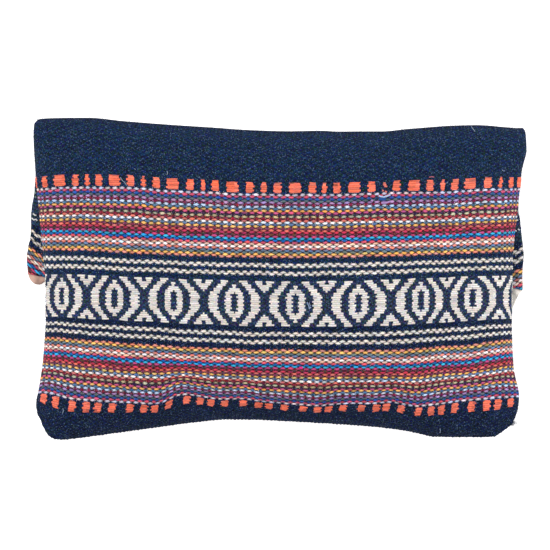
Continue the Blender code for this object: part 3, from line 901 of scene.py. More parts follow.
def rowHeights(picks, across):
    # the height in the picture of each pick (rows) at each place across (columns), in mm
    levels = sorted(bodyShape["rows"])
    top = smoothCurve(bodyShape["topEdge"], across)
    bottom = smoothCurve(bodyShape["bottomEdge"], across)
    known = np.array([softened(smoothCurve(bodyShape["rows"][level], across)) for level in levels])
    toTop = bodyShape["topPick"] - levels[-1]
    toBottom = bodyShape["bottomPick"] - levels[0]
    ahead = levels[-1] + toTop * np.array(bodyShape["aheadShares"])
    behind = levels[0] + toBottom * np.array(bodyShape["behindShares"])
    aheadShare = np.sin(math.pi / 2 * (ahead - levels[-1]) / toTop)
    behindShare = np.sin(math.pi / 2 * (behind - levels[0]) / toBottom)
    knots = np.concatenate([behind, levels, ahead])
    made = np.empty((len(picks), len(across)))
    for column, rows in enumerate(known.T):
        values = np.concatenate([mix(rows[0], bottom[column], behindShare), rows,
                                 mix(rows[-1], top[column], aheadShare)])
        made[:, column] = smoothCurve(list(zip(knots, values)), picks)
    return made, bottom, top


def frontHeights(y, bottom, top, side):
    # height of the stuffed front at each place, in metres
    share = np.clip((y - bottom) / (top - bottom), 0, 1)
    seam = mix(heights["bottomSeam"] + heights["edgeGap"], heights["topRoll"], share)
    crown = heights["crown"] - halfCloth
    middle = mix(seam, crown, bulge(2 * share - 1, *fullness["along"]))
    high = heights["sideSeam"] + heights["edgeGap"]
    low = (high + halfCloth) / 2
    reach = heights["edgeFold"] + heights["edgeGap"]
    turn = np.arcsin(np.clip(1 - (top - y) * mm / reach, 0, 1))
    edge = mix(low, high, np.cos(turn))
    full = bulge(side, fullness["acrossPower"], fullness["acrossRoundness"])
    return mix(edge, middle, full) + halfCloth


def clothColumns(perColumn):
    return np.linspace(0, bands["columns"], bands["columns"] * perColumn + 1)


frontLook = {
    "perColumn": 2,
    "perPick": 2,
    "coarseFrom": 76,        # from this pick to the top there are fewer rows
    "coarseRows": 26,
    "relief": 0.34 * mm,
    "seed": 101,
    # unevenness in millimetres: (height, wave, seed, stretch) and how it fades at the seams
    "sideways": [(0.15, 60.0, 11, 1)],
    "sidewaysFade": (4, 1),
    "bowing": [(0.20, 34.0, 12, 0.4), (0.13, 12.0, 13, 1)],
    "bowingFade": (6, 1),
    "puffs": [(0.55, 95.0, 21, 1), (0.25, 33.0, 22, 1)],
    "puffsFade": (4, 0.8),
    "puffedOut": 0.3,
}
bottomTurn = [(0.3 * mm, -0.6 * mm), (1.2 * mm, -0.9 * mm), (5.0 * mm, -0.9 * mm)]


def frontBody(picks, columns):
    look = frontLook
    share = columnShare(columns, picks)
    across = mix(-bodyShape["halfWidth"], bodyShape["halfWidth"], share[len(picks) // 2])
    y, bottom, top = rowHeights(picks, across)
    left = smoothCurve(bodyShape["leftEdge"], y[:, 0])
    right = smoothCurve(bodyShape["rightEdge"], y[:, -1])
    x = mix(left[:, None], right[:, None], share)
    y = np.array([np.interp(x[row], across, y[row]) for row in range(len(picks))])
    bottom = np.interp(x, across, bottom)
    top = np.interp(x, across, top)
    side = share * 2 - 1
    x = x + ripples(x, y, look["sideways"]) * bulge(side, *look["sidewaysFade"])
    inside = bulge(np.clip((y - bottom) / (top - bottom), 0, 1) * 2 - 1, *look["bowingFade"])
    y = y + ripples(x, y, look["bowing"]) * inside
    z = frontHeights(y, bottom, top, side)
    puff = bulge(side, *look["puffsFade"]) * inside
    z = z + (ripples(x, y, look["puffs"]) + look["puffedOut"]) * mm * puff
    worldX, worldY = fromPicture(x * mm, y * mm, z)
    return np.stack([worldX, worldY, z], axis=2)


def labels(picks, columns):
    grid = np.empty((len(picks), len(columns), 2))
    grid[..., 0] = columns[None, :]
    grid[..., 1] = picks[:, None]
    return grid


def frontCloth(material):
    look = frontLook
    columns = clothColumns(look["perColumn"])
    fine = np.arange(bodyShape["bottomPick"], look["coarseFrom"], 1 / look["perPick"])
    coarse = np.linspace(look["coarseFrom"], bodyShape["topPick"], look["coarseRows"])
    picks = np.concatenate([fine, coarse])
    smooth = frontBody(picks, columns)
    threads = labels(picks, columns)
    places = weaveRelief(smooth, threads, look["relief"])
    places[-1] = smooth[-1]
    places, threads = turnInSides(places, threads)
    places, threads = addRows(places, threads, bottomTurn, False)
    return clothPiece("frontCloth", places, threads, material, look["seed"]), smooth


# The flap, folded down behind the body, in millimetres: its side edges as (height, across),
# and how much higher its mouth lies than in the middle as (across, height)
flapShape = {
    "leftEdge": [(98, -149.0), (89, -148.8), (71, -148.2), (55, -148.9), (42, -150.9), (35, -151.1),
                 (28, -151.4), (20.6, -152.3), (13.5, -153.9), (5.6, -153.4), (0.6, -152.6), (-4, -151.0)],
    "rightEdge": [(95, 152.5), (89, 152.0), (79, 152.0), (67.4, 151.0), (50, 149.0), (42, 149.0),
                  (35, 150.1), (28, 150.8), (20.5, 151.8), (13, 152.4), (5.6, 151.7), (-4.3, 151.6)],
    "mouthLift": [(-150, 4.6), (-143, 3.0), (-128, 0.6), (-110, 0.0), (118, 0.0), (138, -2.4), (150, -5.6)],
    "halfWidth": 150,        # where the mouth's lift is looked up for the side edges
}


def roundTheFold(station, y, z, foldY, reach, middle, level, mouthLevel):
    # from station 1 on: round the lower half of a fold, then down the flap to its mouth
    fold = np.clip(station - 1, 0, 1) * math.pi / 2
    y = np.where(station > 1, foldY + reach * np.cos(fold), y)
    z = np.where(station > 1, mix(middle, level, np.sin(fold)), z)
    y = np.where(station > 2, mix(foldY, heights["mouth"], station - 2), y)
    return y, np.where(station > 2, mix(level, mouthLevel, station - 2), z)


def edgePath(station, offset, level):
    # (y, z) of the side seam; a station is 0 at the bottom, 1 and 2 at the two ends of the fold
    # and 3 at the flap's mouth
    top = heights["bodyHeight"] / 2 - halfCloth
    foldY = top - heights["edgeGap"] - heights["edgeFold"]
    reach = heights["edgeFold"] + offset
    high = heights["sideSeam"] + offset
    middle = (high + level) / 2
    y = mix(-top, foldY + reach, np.clip(station, 0, 1))
    z = mix(middle, high, np.cos(np.arcsin(np.clip((y - foldY) / reach, 0, 1))))
    return roundTheFold(station, y, z, foldY, reach, middle, level, level)


def flapFrontCentre(station):
    # the middle of the cloth that rolls over the top and on down the flap
    rollY = heights["bodyHeight"] / 2 - heights["topDip"] - halfCloth - heights["topRollDepth"]
    turn = np.clip(station - 1, 0, 1) * math.pi / 2
    y = rollY + heights["topRollDepth"] * np.cos(turn)
    z = halfCloth + (heights["topRoll"] - halfCloth) * (1 - np.sin(turn))
    return np.where(station > 2, mix(rollY, heights["mouth"], station - 2), y), z


def backCentre(station):
    # the middle of the cloth behind: up the back, round the fold inside and down the flap
    bottom = -heights["bodyHeight"] / 2 + heights["bottomRise"] + halfCloth
    floor = heights["bodyFloor"]
    level = heights["flapBack"]
    radius = (floor - level) / 2
    middle = (floor + level) / 2
    foldY = heights["bodyHeight"] / 2 - heights["topDip"] - heights["innerFold"]
    y = mix(bottom, foldY + radius, np.clip(station, 0, 1))
    turn = np.arcsin(np.clip((y - foldY) / radius, 0, 1))
    belly = -heights["bellyStart"]
    sag = heights["bellyDrop"] * smoothStep(belly, belly - heights["bellyReach"], y)
    rise = heights["bottomSeam"] - heights["edgeGap"] - floor + heights["bellyDrop"]
    foot = np.maximum((bottom + heights["footReach"] - y) / heights["footReach"], 0)
    z = floor - sag + rise * foot ** heights["footPower"]
    z = np.where(y > foldY, middle + radius * np.cos(turn), z)
    return roundTheFold(station, y, z, foldY, radius, middle, level, heights["mouthLevel"])


def sideEdges(shape, y):
    # the two side edges at each height, in metres
    return [smoothCurve(shape[edge], y / mm) * mm for edge in ("leftEdge", "rightEdge")]


def flapEdges(y, z):
    return [fromPicture(edge, y, z)[0] for edge in sideEdges(flapShape, y)]


def awayFromSides(side):
    return 1 - smoothStep(*fullness["sideShare"], np.abs(side))


def betweenPaths(side, station, edge, middle, plan):
    # (y, z) between the path of the side seams and that of the middle
    lift = smoothCurve(flapShape["mouthLift"], side * flapShape["halfWidth"]) * mm
    power = mix(fullness["acrossPower"], fullness["flapPower"], smoothStep(1, 2, station))
    full = bulge(side, power, fullness["acrossRoundness"])
    return mix(edge[0], middle[0], plan) + lift * smoothStep(2, 3, station), mix(edge[1], middle[1], full)


def offsetOut(places, distance):
    return places + normals(places) * distance


def keepBelowTop(places, inset):
    # nothing behind the front shows past the top of the bag
    top = smoothCurve(bodyShape["topEdge"], places[..., 0] / mm) * mm
    limit = fromPicture(places[..., 0], top, places[..., 2])[1] - inset
    places[..., 1] = np.minimum(places[..., 1], limit)
    return places


flapLook = {
    "perColumn": 2,
    "rollPicks": 26,
    "flapPicks": 58,
    "relief": 0.20 * mm,
    "reliefRoom": 0.3 * mm,  # by which the cloth lies under its face, for its relief
    "belowTop": 0.4 * mm,
    "aboveFloor": 0.05 * mm,
    "hemRow": -8,            # where its stitches run
    "seed": 102,
}
flapHem = [(-0.4 * mm, 0.6 * mm), (-0.4 * mm, 1.5 * mm), (0.2 * mm, 2.1 * mm), (9.0 * mm, 2.1 * mm)]


def flapCloth(material, bodyEdge):
    # from the front's last row, bodyEdge, under the roll and down to the mouth, facing the floor
    look = flapLook
    columns = clothColumns(look["perColumn"])
    side = np.interp(columns, (0, bands["columns"]), (-1, 1))
    picks = bodyShape["topPick"] + np.arange(look["rollPicks"] + look["flapPicks"] + 1)
    station = np.interp(picks, (picks[0], picks[look["rollPicks"]], picks[-1]), (1, 2, 3))[:, None]
    station = np.broadcast_to(station, (len(picks), len(columns)))
    edge = edgePath(station, heights["edgeGap"], halfCloth)
    y, z = betweenPaths(side, station, edge, flapFrontCentre(station), awayFromSides(side))
    left, right = flapEdges(edge[0][:, :1], edge[1][:, :1])
    x = mix(left, right, (side + 1) / 2)
    places = offsetOut(np.stack([x, y, z], axis=2), halfCloth - look["reliefRoom"])
    fade = 1 - smoothStep(1, 2, station[:, :1, None])
    places = places + (bodyEdge[None] - places[:1]) * fade
    places[1:] = keepBelowTop(places[1:], look["belowTop"])
    threads = labels(picks, columns)
    relief = weaveRelief(places, threads, look["relief"])
    relief[0] = places[0]
    relief[..., 2] = np.maximum(relief[..., 2], look["aboveFloor"])
    hemRow = relief[look["hemRow"]]
    places, threads = turnInSides(relief, threads)
    places, threads = addRows(places, threads, flapHem, True)
    places[..., 2] = np.maximum(places[..., 2], look["aboveFloor"])
    return clothPiece("flapCloth", places, threads, material, look["seed"]), hemRow


backLook = {
    "perColumn": 2,
    "relief": 0.30 * mm,
    "reliefRoom": 0.2 * mm,
    "mouthPick": -34,
    "bottomPick": 141,
    "firstPick": -35.9,
    "foldPicks": (9.4, 4.0),  # round the fold inside, at the sides and in the middle
    "foldLevel": 0.0041,
    "apart": 0.5 * mm,       # from the flap's outer cloth at the sides
    "insideEdge": 0.6 * mm,  # from the front's side edges
    "belowTop": 3.0 * mm,
    "slantFrom": 0.141,
    "slant": 0.6,
    "skewReach": (0.128, 0.146),
    "skewLeft": 3,           # picks by which the bands hang lower at the two ends
    "skewRight": 6,
    "hemRow": 7,
    "tucked": (0.5, 0.9),    # stations over which the cloth goes into the fold
    "onFlap": (1.0, 1.8),    # and over which it takes the flap's side edges
    "seed": 103,
}
backHem = [(-0.3 * mm, -0.5 * mm), (-0.3 * mm, -1.3 * mm), (0.2 * mm, -1.8 * mm), (9.0 * mm, -1.8 * mm)]
backTurn = [(0.3 * mm, 0.6 * mm), (1.2 * mm, 0.8 * mm), (5.0 * mm, 0.8 * mm)]


def backCloth(material):
    # from the mouth up the flap, round the fold inside and down the back of the body
    look = backLook
    gap = heights["edgeGap"]
    columns = clothColumns(look["perColumn"])
    side = np.interp(columns, (0, bands["columns"]), (-1, 1))
    picks = np.arange(look["mouthPick"], look["bottomPick"] + 1).astype(float)
    tuckShare = bulge(side, *fullness["tuck"])
    atFold = np.array([2.0])
    foldY = mix(edgePath(atFold, -gap, look["foldLevel"])[0], backCentre(atFold)[0], tuckShare)
    foldPick = foldY / bands["pick"] + look["firstPick"]
    turnPick = foldPick + mix(*look["foldPicks"], tuckShare)
    station = np.empty((len(picks), len(columns)))
    for column in range(len(columns)):
        knots = (picks[0], foldPick[column], turnPick[column], picks[-1])
        station[:, column] = np.interp(picks, knots, (3, 2, 1, 0))
    edge = edgePath(station, -gap, halfCloth + 2 * gap + look["apart"])
    plan = mix(awayFromSides(side), tuckShare, smoothStep(*look["tucked"], station))
    y, z = betweenPaths(side, station, edge, backCentre(station), plan)
    across = (side + 1) / 2
    bodyLeft, bodyRight = sideEdges(bodyShape, y)
    onFlap = smoothStep(*look["onFlap"], station)
    x = mix(mix(bodyLeft + look["insideEdge"], bodyRight - look["insideEdge"], across),
            mix(*flapEdges(y, z), across), onFlap)
    places = offsetOut(np.stack([x, y, z], axis=2), halfCloth - look["reliefRoom"])
    places = keepBelowTop(places, look["belowTop"])
    threads = labels(picks, columns)
    # near its side edges the flap was cut at a slant, so its bands rise outwards
    x = places[..., 0]
    rise = np.maximum(np.abs(x) - look["slantFrom"], 0) * look["slant"] * onFlap
    skew = (look["skewRight"] * smoothStep(*look["skewReach"], x)
            + look["skewLeft"] * smoothStep(*look["skewReach"], -x)) * onFlap
    threads[..., 1] += skew - rise / bands["pick"]
    relief = weaveRelief(places, threads, look["relief"])
    hemRow = relief[look["hemRow"]]
    turned, threads = turnInSides(relief, threads)
    turned, threads = addRows(turned, threads, backHem, False)
    turned, threads = addRows(turned, threads, backTurn, True)
    return clothPiece("backCloth", turned, threads, material, look["seed"], True), places, hemRow


# The lining behind the front, which stays clear of the cloth's own edges
liningShape = {
    "rows": 70,
    "columns": 90,
    "acrossShare": 0.955,
    "alongShare": 0.94,
    "below": 1.0 * mm,
    "drop": 3.4 * mm,
    "creases": [(0.5, 26.0, 41, 1)],
    "topPicks": 3,           # picks by which it ends below the top of the cloth
}


def frontLining(material):
    look = liningShape
    picks = np.linspace(bodyShape["bottomPick"], bodyShape["topPick"] - look["topPicks"], look["rows"])
    columns = np.linspace(0, bands["columns"], look["columns"])
    places = frontBody(picks, columns)
    x = places[..., 0] * look["acrossShare"]
    y = places[..., 1] * look["alongShare"] - look["below"]
    z = places[..., 2] - look["drop"] + ripples(x / mm, y / mm, look["creases"]) * mm
    return shownPiece(gridMesh("frontLining", np.stack([x, y, z], axis=2))[0], material)


# Folded cloth tabs at the zip's ends; their edges as seen from above in millimetres, the lower
# one as (across, height), and their lowest and highest levels in metres
tabShapes = {
    "tabLeft": {
        "node": "zip_end_tab_left",
        "colour": (0.64, 0.40, 0.32),
        "lowerEdge": [(-153.6, 2.6), (-152.9, 0.4), (-151.2, -2.2), (-148.6, -3.9), (-146.2, -4.1),
                      (-143.5, -2.6), (-139.5, -0.4)],
        "upperEdge": 6.4,
        "levels": (0.0016, 0.0052),
        "droops": 0.0,
        "flat": (0.0235, 0.0160),
        "seed": 51,
    },
    "tabRight": {
        "node": "zip_end_tab_right",
        "colour": (0.93, 0.88, 0.80),
        "lowerEdge": [(139.5, -18.2), (145.0, -18.7), (146.7, -17.2), (148.1, -13.9), (149.6, -10.8),
                      (151.2, -8.4), (152.8, -6.4)],
        "upperEdge": -2.2,
        "levels": (0.0014, 0.0046),
        "droops": 1.0,           # its end lies down on the floor, under the pull's way
        "flat": (0.0235, 0.0180),
        "seed": 52,
    },
}
tabLook = {
    "across": 22,
    "around": 25,
    "crumple": 0.35 * mm,
    "crumpleWave": 6.0,
    "thinTip": (-1.0, 3.5),  # millimetres from the outer end over which the fold opens
    "droop": (-12.4, -10.4),  # and heights over which a drooping end comes down
    "droopLevel": 0.75 * mm,
    "droopShare": 0.2,
    "weave": 0.0009,
    "roughness": 0.9,
}


def zipTab(name, material):
    # a scrap of cloth folded round the zip's end, its fold along the lower edge
    shape = tabShapes[name]
    look = tabLook
    low, high = shape["levels"]
    middle = (low + high) / 2
    bend = (high - low) / 2
    edge = shape["lowerEdge"]
    across = np.linspace(edge[0][0], edge[-1][0], look["across"])
    turn = np.linspace(0, 3, look["around"])[:, None]
    flatShare = np.where(turn < 1, 1 - turn, np.where(turn > 2, turn - 2, 0))
    angle = (np.clip(turn, 1, 2) - 1) * math.pi
    start = (smoothCurve(edge, across) * mm)[None, :] + bend
    y = start + (shape["upperEdge"] * mm - start) * flatShare - bend * np.sin(angle)
    x = np.broadcast_to(across * mm, y.shape)
    tip = np.abs(x / mm - (edge[0][0] if edge[0][0] < 0 else edge[-1][0]))
    z = mix(middle, middle + bend * np.cos(angle), smoothStep(*look["thinTip"], tip))
    faceSide = np.where(angle > math.pi / 2, -1, 1)
    z = z + look["crumple"] * ripple(x / mm, y / mm, look["crumpleWave"], shape["seed"]) * faceSide
    drooped = (1 - smoothStep(*look["droop"], y / mm)) * shape["droops"]
    z = mix(z, look["droopLevel"] + (z - middle) * look["droopShare"], drooped)
    x, y = fromPicture(x, y, z)
    return shownPiece(gridMesh(name, np.stack([x, y, z], axis=2))[0], material)


# Thread-like pieces: strands of loose yarn, lint, fuzz at the edges, stitches and zip coils


def strandPiece(name, strands, thickness, material, resolution=0):
    # many thin strands in one curve; each is a list of points
    curve = bpy.data.curves.new(name, "CURVE")
    curve.dimensions = "3D"
    curve.bevel_depth = thickness / 2
    curve.bevel_resolution = resolution
    curve.use_fill_caps = True
    for points in strands:
        spline = curve.splines.new("POLY")
        spline.points.add(len(points) - 1)
        spline.points.foreach_set("co", np.column_stack([points, np.ones(len(points))]).ravel())
    return shownPiece(curve, material)


class Surface:
    # finds the height of a cloth where it is seen in the picture
    def __init__(self, places):
        self.points = places.reshape(-1, 3)
        nearer = 1 - (self.points[:, 2] - pictureView["seamLevel"]) / pictureView["distance"]
        centre = np.array((pictureView["x"], pictureView["y"]))
        self.seen = centre + (self.points[:, :2] - centre) / nearer[:, None]

    def place(self, x, y, lift):
        # x and y in millimetres, as seen at the seams' level
        nearest = np.argmin(np.sum((self.seen - (x * mm, y * mm)) ** 2, axis=1))
        z = self.points[nearest, 2] + lift
        return (*fromPicture(x * mm, y * mm, z), z)


# white and green shots that show on the strips beside the front: thickness, lift, colour
# and their lines of places as seen
stripYarns = {
    "stripShots": (0.9 * mm, 0.5 * mm, (0.74, 0.74, 0.76), [
        [(-150.4, 39.9), (-149.2, 38.8), (-148.4, 38.9)],
        [(-151.2, 37.2), (-149.9, 35.9), (-148.6, 36.4), (-147.8, 35.4)],
        [(148.2, 41.6), (149.0, 40.8)],
        [(147.6, 36.6), (148.4, 35.7), (149.2, 35.9)],
        [(147.3, 29.6), (148.3, 28.9)],
        [(149.2, 30.3), (150.3, 29.6)],
    ]),
    "stripGreen": (0.9 * mm, 0.5 * mm, (0.20, 0.30, 0.26), [
        [(-149.4, 53.4), (-148.5, 52.4)],
        [(-149.3, 50.6), (-148.4, 49.8)],
    ]),
}

# loose yarns on the front, in the same way
looseYarns = {
    "whiteFibres": (0.34 * mm, 0.6 * mm, (0.30, 0.38, 0.50), [
        [(-96.4, 62.3), (-95.4, 60.4), (-93.9, 59.2), (-92.6, 57.2)],
        [(120.2, 94.2), (120.9, 92.9), (121.9, 91.7), (122.7, 90.6)],
        [(-132.0, -80.6), (-131.7, -82.0), (-132.1, -83.4)],
        [(101.1, -93.0), (101.3, -94.4), (101.0, -95.7)],
        [(-87.7, 67.6), (-87.1, 67.2)],
        [(-67.6, 66.2), (-67.3, 65.0), (-67.7, 63.7)],
        [(139.4, 66.8), (140.3, 66.2), (141.0, 66.3)],
        [(105.1, 58.6), (105.7, 59.0)],
        [(20.3, -15.0), (20.5, -16.3), (21.2, -17.2)],
    ]),
    "paleFlecks": (0.75 * mm, 0.5 * mm, (0.24, 0.32, 0.50), [
        [(18.9, -14.9), (19.6, -16.4), (20.1, -17.5), (20.4, -19.0)],
        [(21.3, -17.9), (20.6, -18.6)],
    ]),
    "pinkSlub": (1.5 * mm, 0.4 * mm, (0.72, 0.02, 0.24), [
        [(14.2, -55.6), (15.2, -55.4), (16.2, -55.8)],
    ]),
    "pinkFleck": (0.6 * mm, 0.5 * mm, (0.50, 0.14, 0.20), [
        [(94.3, 62.3), (95.9, 62.7), (97.4, 62.4)],
    ]),
    "brokenYarn": (1.15 * mm, 0.5 * mm, (0.72, 0.19, 0.15), [
        [(66.1, 58.6), (67.4, 58.7)],
        [(65.9, 57.7), (67.9, 57.6)],
        [(66.6, 56.7), (68.4, 56.6)],
        [(65.3, 54.2), (66.3, 53.9)],
        [(67.0, 53.4), (68.3, 53.2)],
    ]),
    "blueYarn": (1.7 * mm, 0.45 * mm, (0.008, 0.08, 0.30), [
        [(63.4, 48.9), (65.2, 48.6), (67.4, 48.8)],
    ]),
    "skyYarn": (1.0 * mm, 1.2 * mm, (0.42, 0.56, 0.80), [
        [(63.2, 50.9), (64.6, 50.3), (66.4, 50.1), (68.2, 50.6), (70.4, 51.5)],
    ]),
    "lilacYarn": (1.1 * mm, 0.9 * mm, (0.46, 0.26, 0.55), [
        [(64.8, 46.6), (66.3, 46.2), (68.2, 46.6), (70.6, 47.5)],
        [(58.6, 48.3), (59.6, 47.4)],
    ]),
}

fuzzLook = {
    "seed": 61,
    "edgeHairs": 900,
    "edgeLength": 1.1 * mm,
    "edgeLengths": (0.4, 1.4),  # shares of it
    "edgeLean": 0.5,
    "edgeThickness": 0.09 * mm,
    "rooted": 0.3 * mm,      # how far in from the edge a hair starts
    "inward": (6, 8, 3),     # points in from the sides, bottom and top, which show the way in
    "stripRows": (2, 70),    # rows of the back that show beside the front
    "tuftHairs": 110,        # where the seam allowance frays out at the lower right corner
    "tuftReach": (-0.0945, -0.0885),
    "tuftLength": 1.9 * mm,
    "tuftLengths": (0.5, 1.2),
    "tuftLean": (-0.2, 0.6),
    "lintHairs": 420,
    "lintLength": 1.5 * mm,
    "lintLengths": (0.3, 1.2),
    "lintThickness": 0.085 * mm,
    "lintAcross": (-146, 148),
    "lintBands": ((62, 92), (-96, -84), (-80, 60)),
    "lintShares": (0.6, 0.25, 0.15),
    "lintLift": 0.35 * mm,
    "sideways": 0.35,
    "upwards": 0.2,
    "bend": 0.3,
}


def hair(start, along, length, draw):
    side = np.array((-along[1], along[0], 0.0)) * draw.normal(0, fuzzLook["sideways"])
    rise = np.array((0, 0, draw.normal(0, fuzzLook["upwards"])))
    middle = start + (along + side * fuzzLook["bend"] + rise) * length * 0.5
    return [start, middle, start + (along + side + rise) * length]


def outwardFrom(edge, inner):
    # level directions from an edge of a cloth away from its inside
    out = edge - inner
    out[:, 2] = 0
    return unit(out)


def edgeFuzz(front, back, material):
    look = fuzzLook
    draw = np.random.default_rng(look["seed"])
    ribs, lower, upper = look["inward"]
    strip = back[slice(*look["stripRows"])]
    borders = [(front[:, 0], front[:, ribs], 3), (front[:, -1], front[:, -1 - ribs], 3),
               (front[0], front[lower], 3), (front[-1], front[-1 - upper], 3),
               (strip[:, 0], strip[:, ribs], 1), (strip[:, -1], strip[:, -1 - ribs], 1)]
    strands = []
    total = sum(weight for _, _, weight in borders)
    for edge, inner, weight in borders:
        away = outwardFrom(edge, inner)
        for spot in draw.integers(0, len(edge), int(look["edgeHairs"] * weight / total)):
            length = look["edgeLength"] * draw.uniform(*look["edgeLengths"])
            lean = away[spot] + np.array((*draw.normal(0, look["edgeLean"], 2), 0))
            strands.append(hair(edge[spot] - away[spot] * look["rooted"], lean, length, draw))
    low, high = look["tuftReach"]
    corner = np.argwhere((front[:, -1, 1] > low) & (front[:, -1, 1] < high)).ravel()
    away = outwardFrom(front[:, -1], front[:, -1 - ribs])
    for spot in draw.choice(corner, look["tuftHairs"]):
        lean = away[spot] + np.array((*draw.normal(*look["tuftLean"], 2), 0))
        length = look["tuftLength"] * draw.uniform(*look["tuftLengths"])
        strands.append(hair(front[spot, -1], lean, length, draw))
    return strandPiece("edgeFuzz", strands, look["edgeThickness"], material)


def lint(surface, material):
    look = fuzzLook
    draw = np.random.default_rng(look["seed"] + 1)
    strands = []
    for turn in range(look["lintHairs"]):
        x = draw.uniform(*look["lintAcross"])
        y = draw.choice([draw.uniform(*band) for band in look["lintBands"]], p=look["lintShares"])
        start = np.array(surface.place(x, y, look["lintLift"]))
        angle = draw.uniform(0, 2 * math.pi)
        away = np.array((math.cos(angle), math.sin(angle), 0.0))
        length = look["lintLength"] * draw.uniform(*look["lintLengths"])
        strands.append(hair(start, away, length, draw))
    return strandPiece("lint", strands, look["lintThickness"], material)


stitchLook = {
    "length": 2.3 * mm,
    "pitch": 3.6 * mm,
    "thickness": 0.5 * mm,
    "first": 2 * mm,
    "last": 4 * mm,          # from the end of the row
    "shares": (0.0, 0.15, 0.5, 0.85, 1.0),
    "rises": (-0.3, 0.12, 0.2, 0.12, -0.3),
}


def stitches(name, row, outward, material):
    # running stitches along a row of a cloth's points
    look = stitchLook
    lengths = np.concatenate([[0], np.cumsum(np.linalg.norm(np.diff(row, axis=0), axis=1))])
    strands = []
    for start in np.arange(look["first"], lengths[-1] - look["last"], look["pitch"]):
        at = start + look["length"] * np.array(look["shares"])
        points = np.stack([np.interp(at, lengths, row[:, axis]) for axis in range(3)], axis=1)
        points[:, 2] += outward * np.array(look["rises"]) * mm
        strands.append(points)
    return strandPiece(name, strands, look["thickness"], material)


coilLook = {
    "pitch": 1.05 * mm,
    "wire": 0.5 * mm,
    "radius": 0.72 * mm,
    "flat": 0.8,             # a coil is pressed flat, and its sides lean over each other
    "lean": 0.12 * mm,
    "from": -135.4 * mm,
    "to": 135.4 * mm,
    "y": -10.6 * mm,
    "steps": 8,
}
coils = {
    "coilFront": ("zip_coil_front", 2.55 * mm),
    "coilBack": ("zip_coil_back", 5.65 * mm),
}


def zipCoil(name, level, material):
    look = coilLook
    turns = (look["to"] - look["from"]) / look["pitch"]
    angle = np.linspace(0, turns * 2 * math.pi, int(turns * look["steps"]) + 1)
    x = look["from"] + (angle / (2 * math.pi)) * look["pitch"]
    points = np.stack([x + look["lean"] * np.sin(2 * angle), look["y"] + look["radius"] * np.cos(angle),
                       level + look["radius"] * look["flat"] * np.sin(angle)], axis=1)
    return strandPiece(name, [points], look["wire"], material)


# The studio: a pale floor, soft light and the camera straight above
studio = {
    "floorSize": 6.0,
    "floorLevel": -0.0002,
    "floorColour": (0.92, 0.92, 0.92, 1),
    "floorRoughness": 0.9,
    "floorGlow": 0.75,
    "worldStrength": 0.55,
    "lights": [  # name, place, size, power in watts
        ("keyLight", (-0.9, 0.9, 1.6), 1.4, 17.0),
        ("fillLight", (1.5, 0.2, 0.6), 1.2, 18.0),
        ("leftLight", (-1.5, 0.1, 0.6), 1.2, 9.0),
    ],
}


def floorFinish():
    made = Finish("paleFloor")
    made.into(baseColor=studio["floorColour"], roughness=studio["floorRoughness"],
              emissionColor=(1, 1, 1, 1), emissionStrength=studio["floorGlow"])
    return made.material


def buildStudio():
    half = studio["floorSize"] / 2
    corners = np.array([[(x, y, studio["floorLevel"]) for x in (-half, half)] for y in (-half, half)])
    floor = shownPiece(gridMesh("studioFloor", corners)[0], floorFinish())
    floor.visible_diffuse = False
    world = bpy.data.worlds.new("studioWorld")
    world.use_nodes = True
    sky = world.node_tree.nodes["Background"]
    sky.inputs["Color"].default_value = (1, 1, 1, 1)
    sky.inputs["Strength"].default_value = studio["worldStrength"]
    bpy.context.scene.world = world
    for name, place, size, power in studio["lights"]:
        lamp = bpy.data.lights.new(name, "AREA")
        lamp.shape = "SQUARE"
        lamp.size = size
        lamp.energy = power
        made = shownPiece(lamp)
        made.location = place
        made.rotation_euler = (-Vector(place)).to_track_quat("-Z", "Y").to_euler()
    bpy.context.scene.view_settings.view_transform = "Standard"


def buildCamera():
    view = pictureView
    lens = bpy.data.cameras.new("pictureCamera")
    lens.sensor_width = view["sensor"]
    lens.lens = view["sensor"] * view["distance"] / view["width"]
    lens.clip_end = view["farthest"]
    camera = shownPiece(lens)
    camera.location = (view["x"], view["y"], view["seamLevel"] + view["distance"])
    bpy.context.scene.camera = camera


print("studio")
buildStudio()
buildCamera()

print("finishes")
woven = wovenFinish()
finishes = {
    "lining": plainWeaveFinish("liningCotton", (0.56, 0.49, 0.42), 0.0007, 0.9),
    "tape": plainWeaveFinish("tapeWeave", (0.45, 0.27, 0.215), 0.0006, 0.8),
    "coil": nylonFinish(),
    "metal": brassFinish(),
}

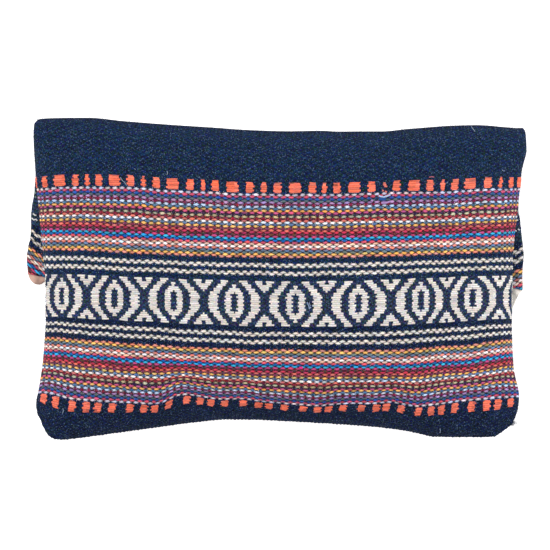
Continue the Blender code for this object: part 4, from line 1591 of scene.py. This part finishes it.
print("cloth")
front, frontPlaces = frontCloth(woven)
flap, flapHemRow = flapCloth(woven, frontPlaces[-1])
back, backPlaces, backHemRow = backCloth(woven)
lining = frontLining(finishes["lining"])
sheets = [(front, "front_panel", "woven_cotton", (0.334, 0.234), "stretched"),
          (flap, "front_panel", "woven_cotton", (0.330, 0.118), "folded"),
          (back, "back_panel", "woven_cotton", (0.330, 0.231), "folded"),
          (lining, "front_lining", "lining_cotton", (0.305, 0.208), "stretched")]
for name, shape in tabShapes.items():
    cotton = plainWeaveFinish(name + "Cotton", shape["colour"], tabLook["weave"], tabLook["roughness"])
    sheets.append((zipTab(name, cotton), shape["node"], "zip_tape", shape["flat"], "folded"))
for piece, node, slot, flat, held in sheets:
    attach(piece, "bag")
    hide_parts(node)
    area = sum(face.area for face in piece.data.polygons)
    print(piece.name, "has", round(area / (flat[0] * flat[1]), 3), "of its flat area")

print("zip")
for name, (node, level) in coils.items():
    coil = zipCoil(name, level, finishes["coil"])
    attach(coil, "bag")
    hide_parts(node)
for node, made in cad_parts.items():
    kind = ("lining" if "lining" in node else "coil" if "coil" in node
            else "tape" if "tape" in node or "tab" in node else "metal")
    if "panel" not in node:
        for slot in made.material_slots:
            slot.material = finishes[kind]

print("yarns")
frontSurface = Surface(frontPlaces)
backSurface = Surface(backPlaces)
small = [edgeFuzz(frontPlaces, backPlaces, yarnFinish("navyFuzz", (0.025, 0.045, 0.095))),
         lint(frontSurface, yarnFinish("paleLint", (0.16, 0.22, 0.33))),
         stitches("flapStitches", flapHemRow, -1, yarnFinish("flapThread", (0.012, 0.03, 0.08))),
         stitches("backStitches", backHemRow, 1, yarnFinish("backThread", (0.012, 0.03, 0.08)))]
for surface, loose in ((frontSurface, looseYarns), (backSurface, stripYarns)):
    for name, (thickness, lift, colour, lines) in loose.items():
        strands = [[surface.place(x, y, lift) for x, y in line] for line in lines]
        small.append(strandPiece(name, strands, thickness, yarnFinish(name, colour), 1))
for piece in small:
    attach(piece, "bag")
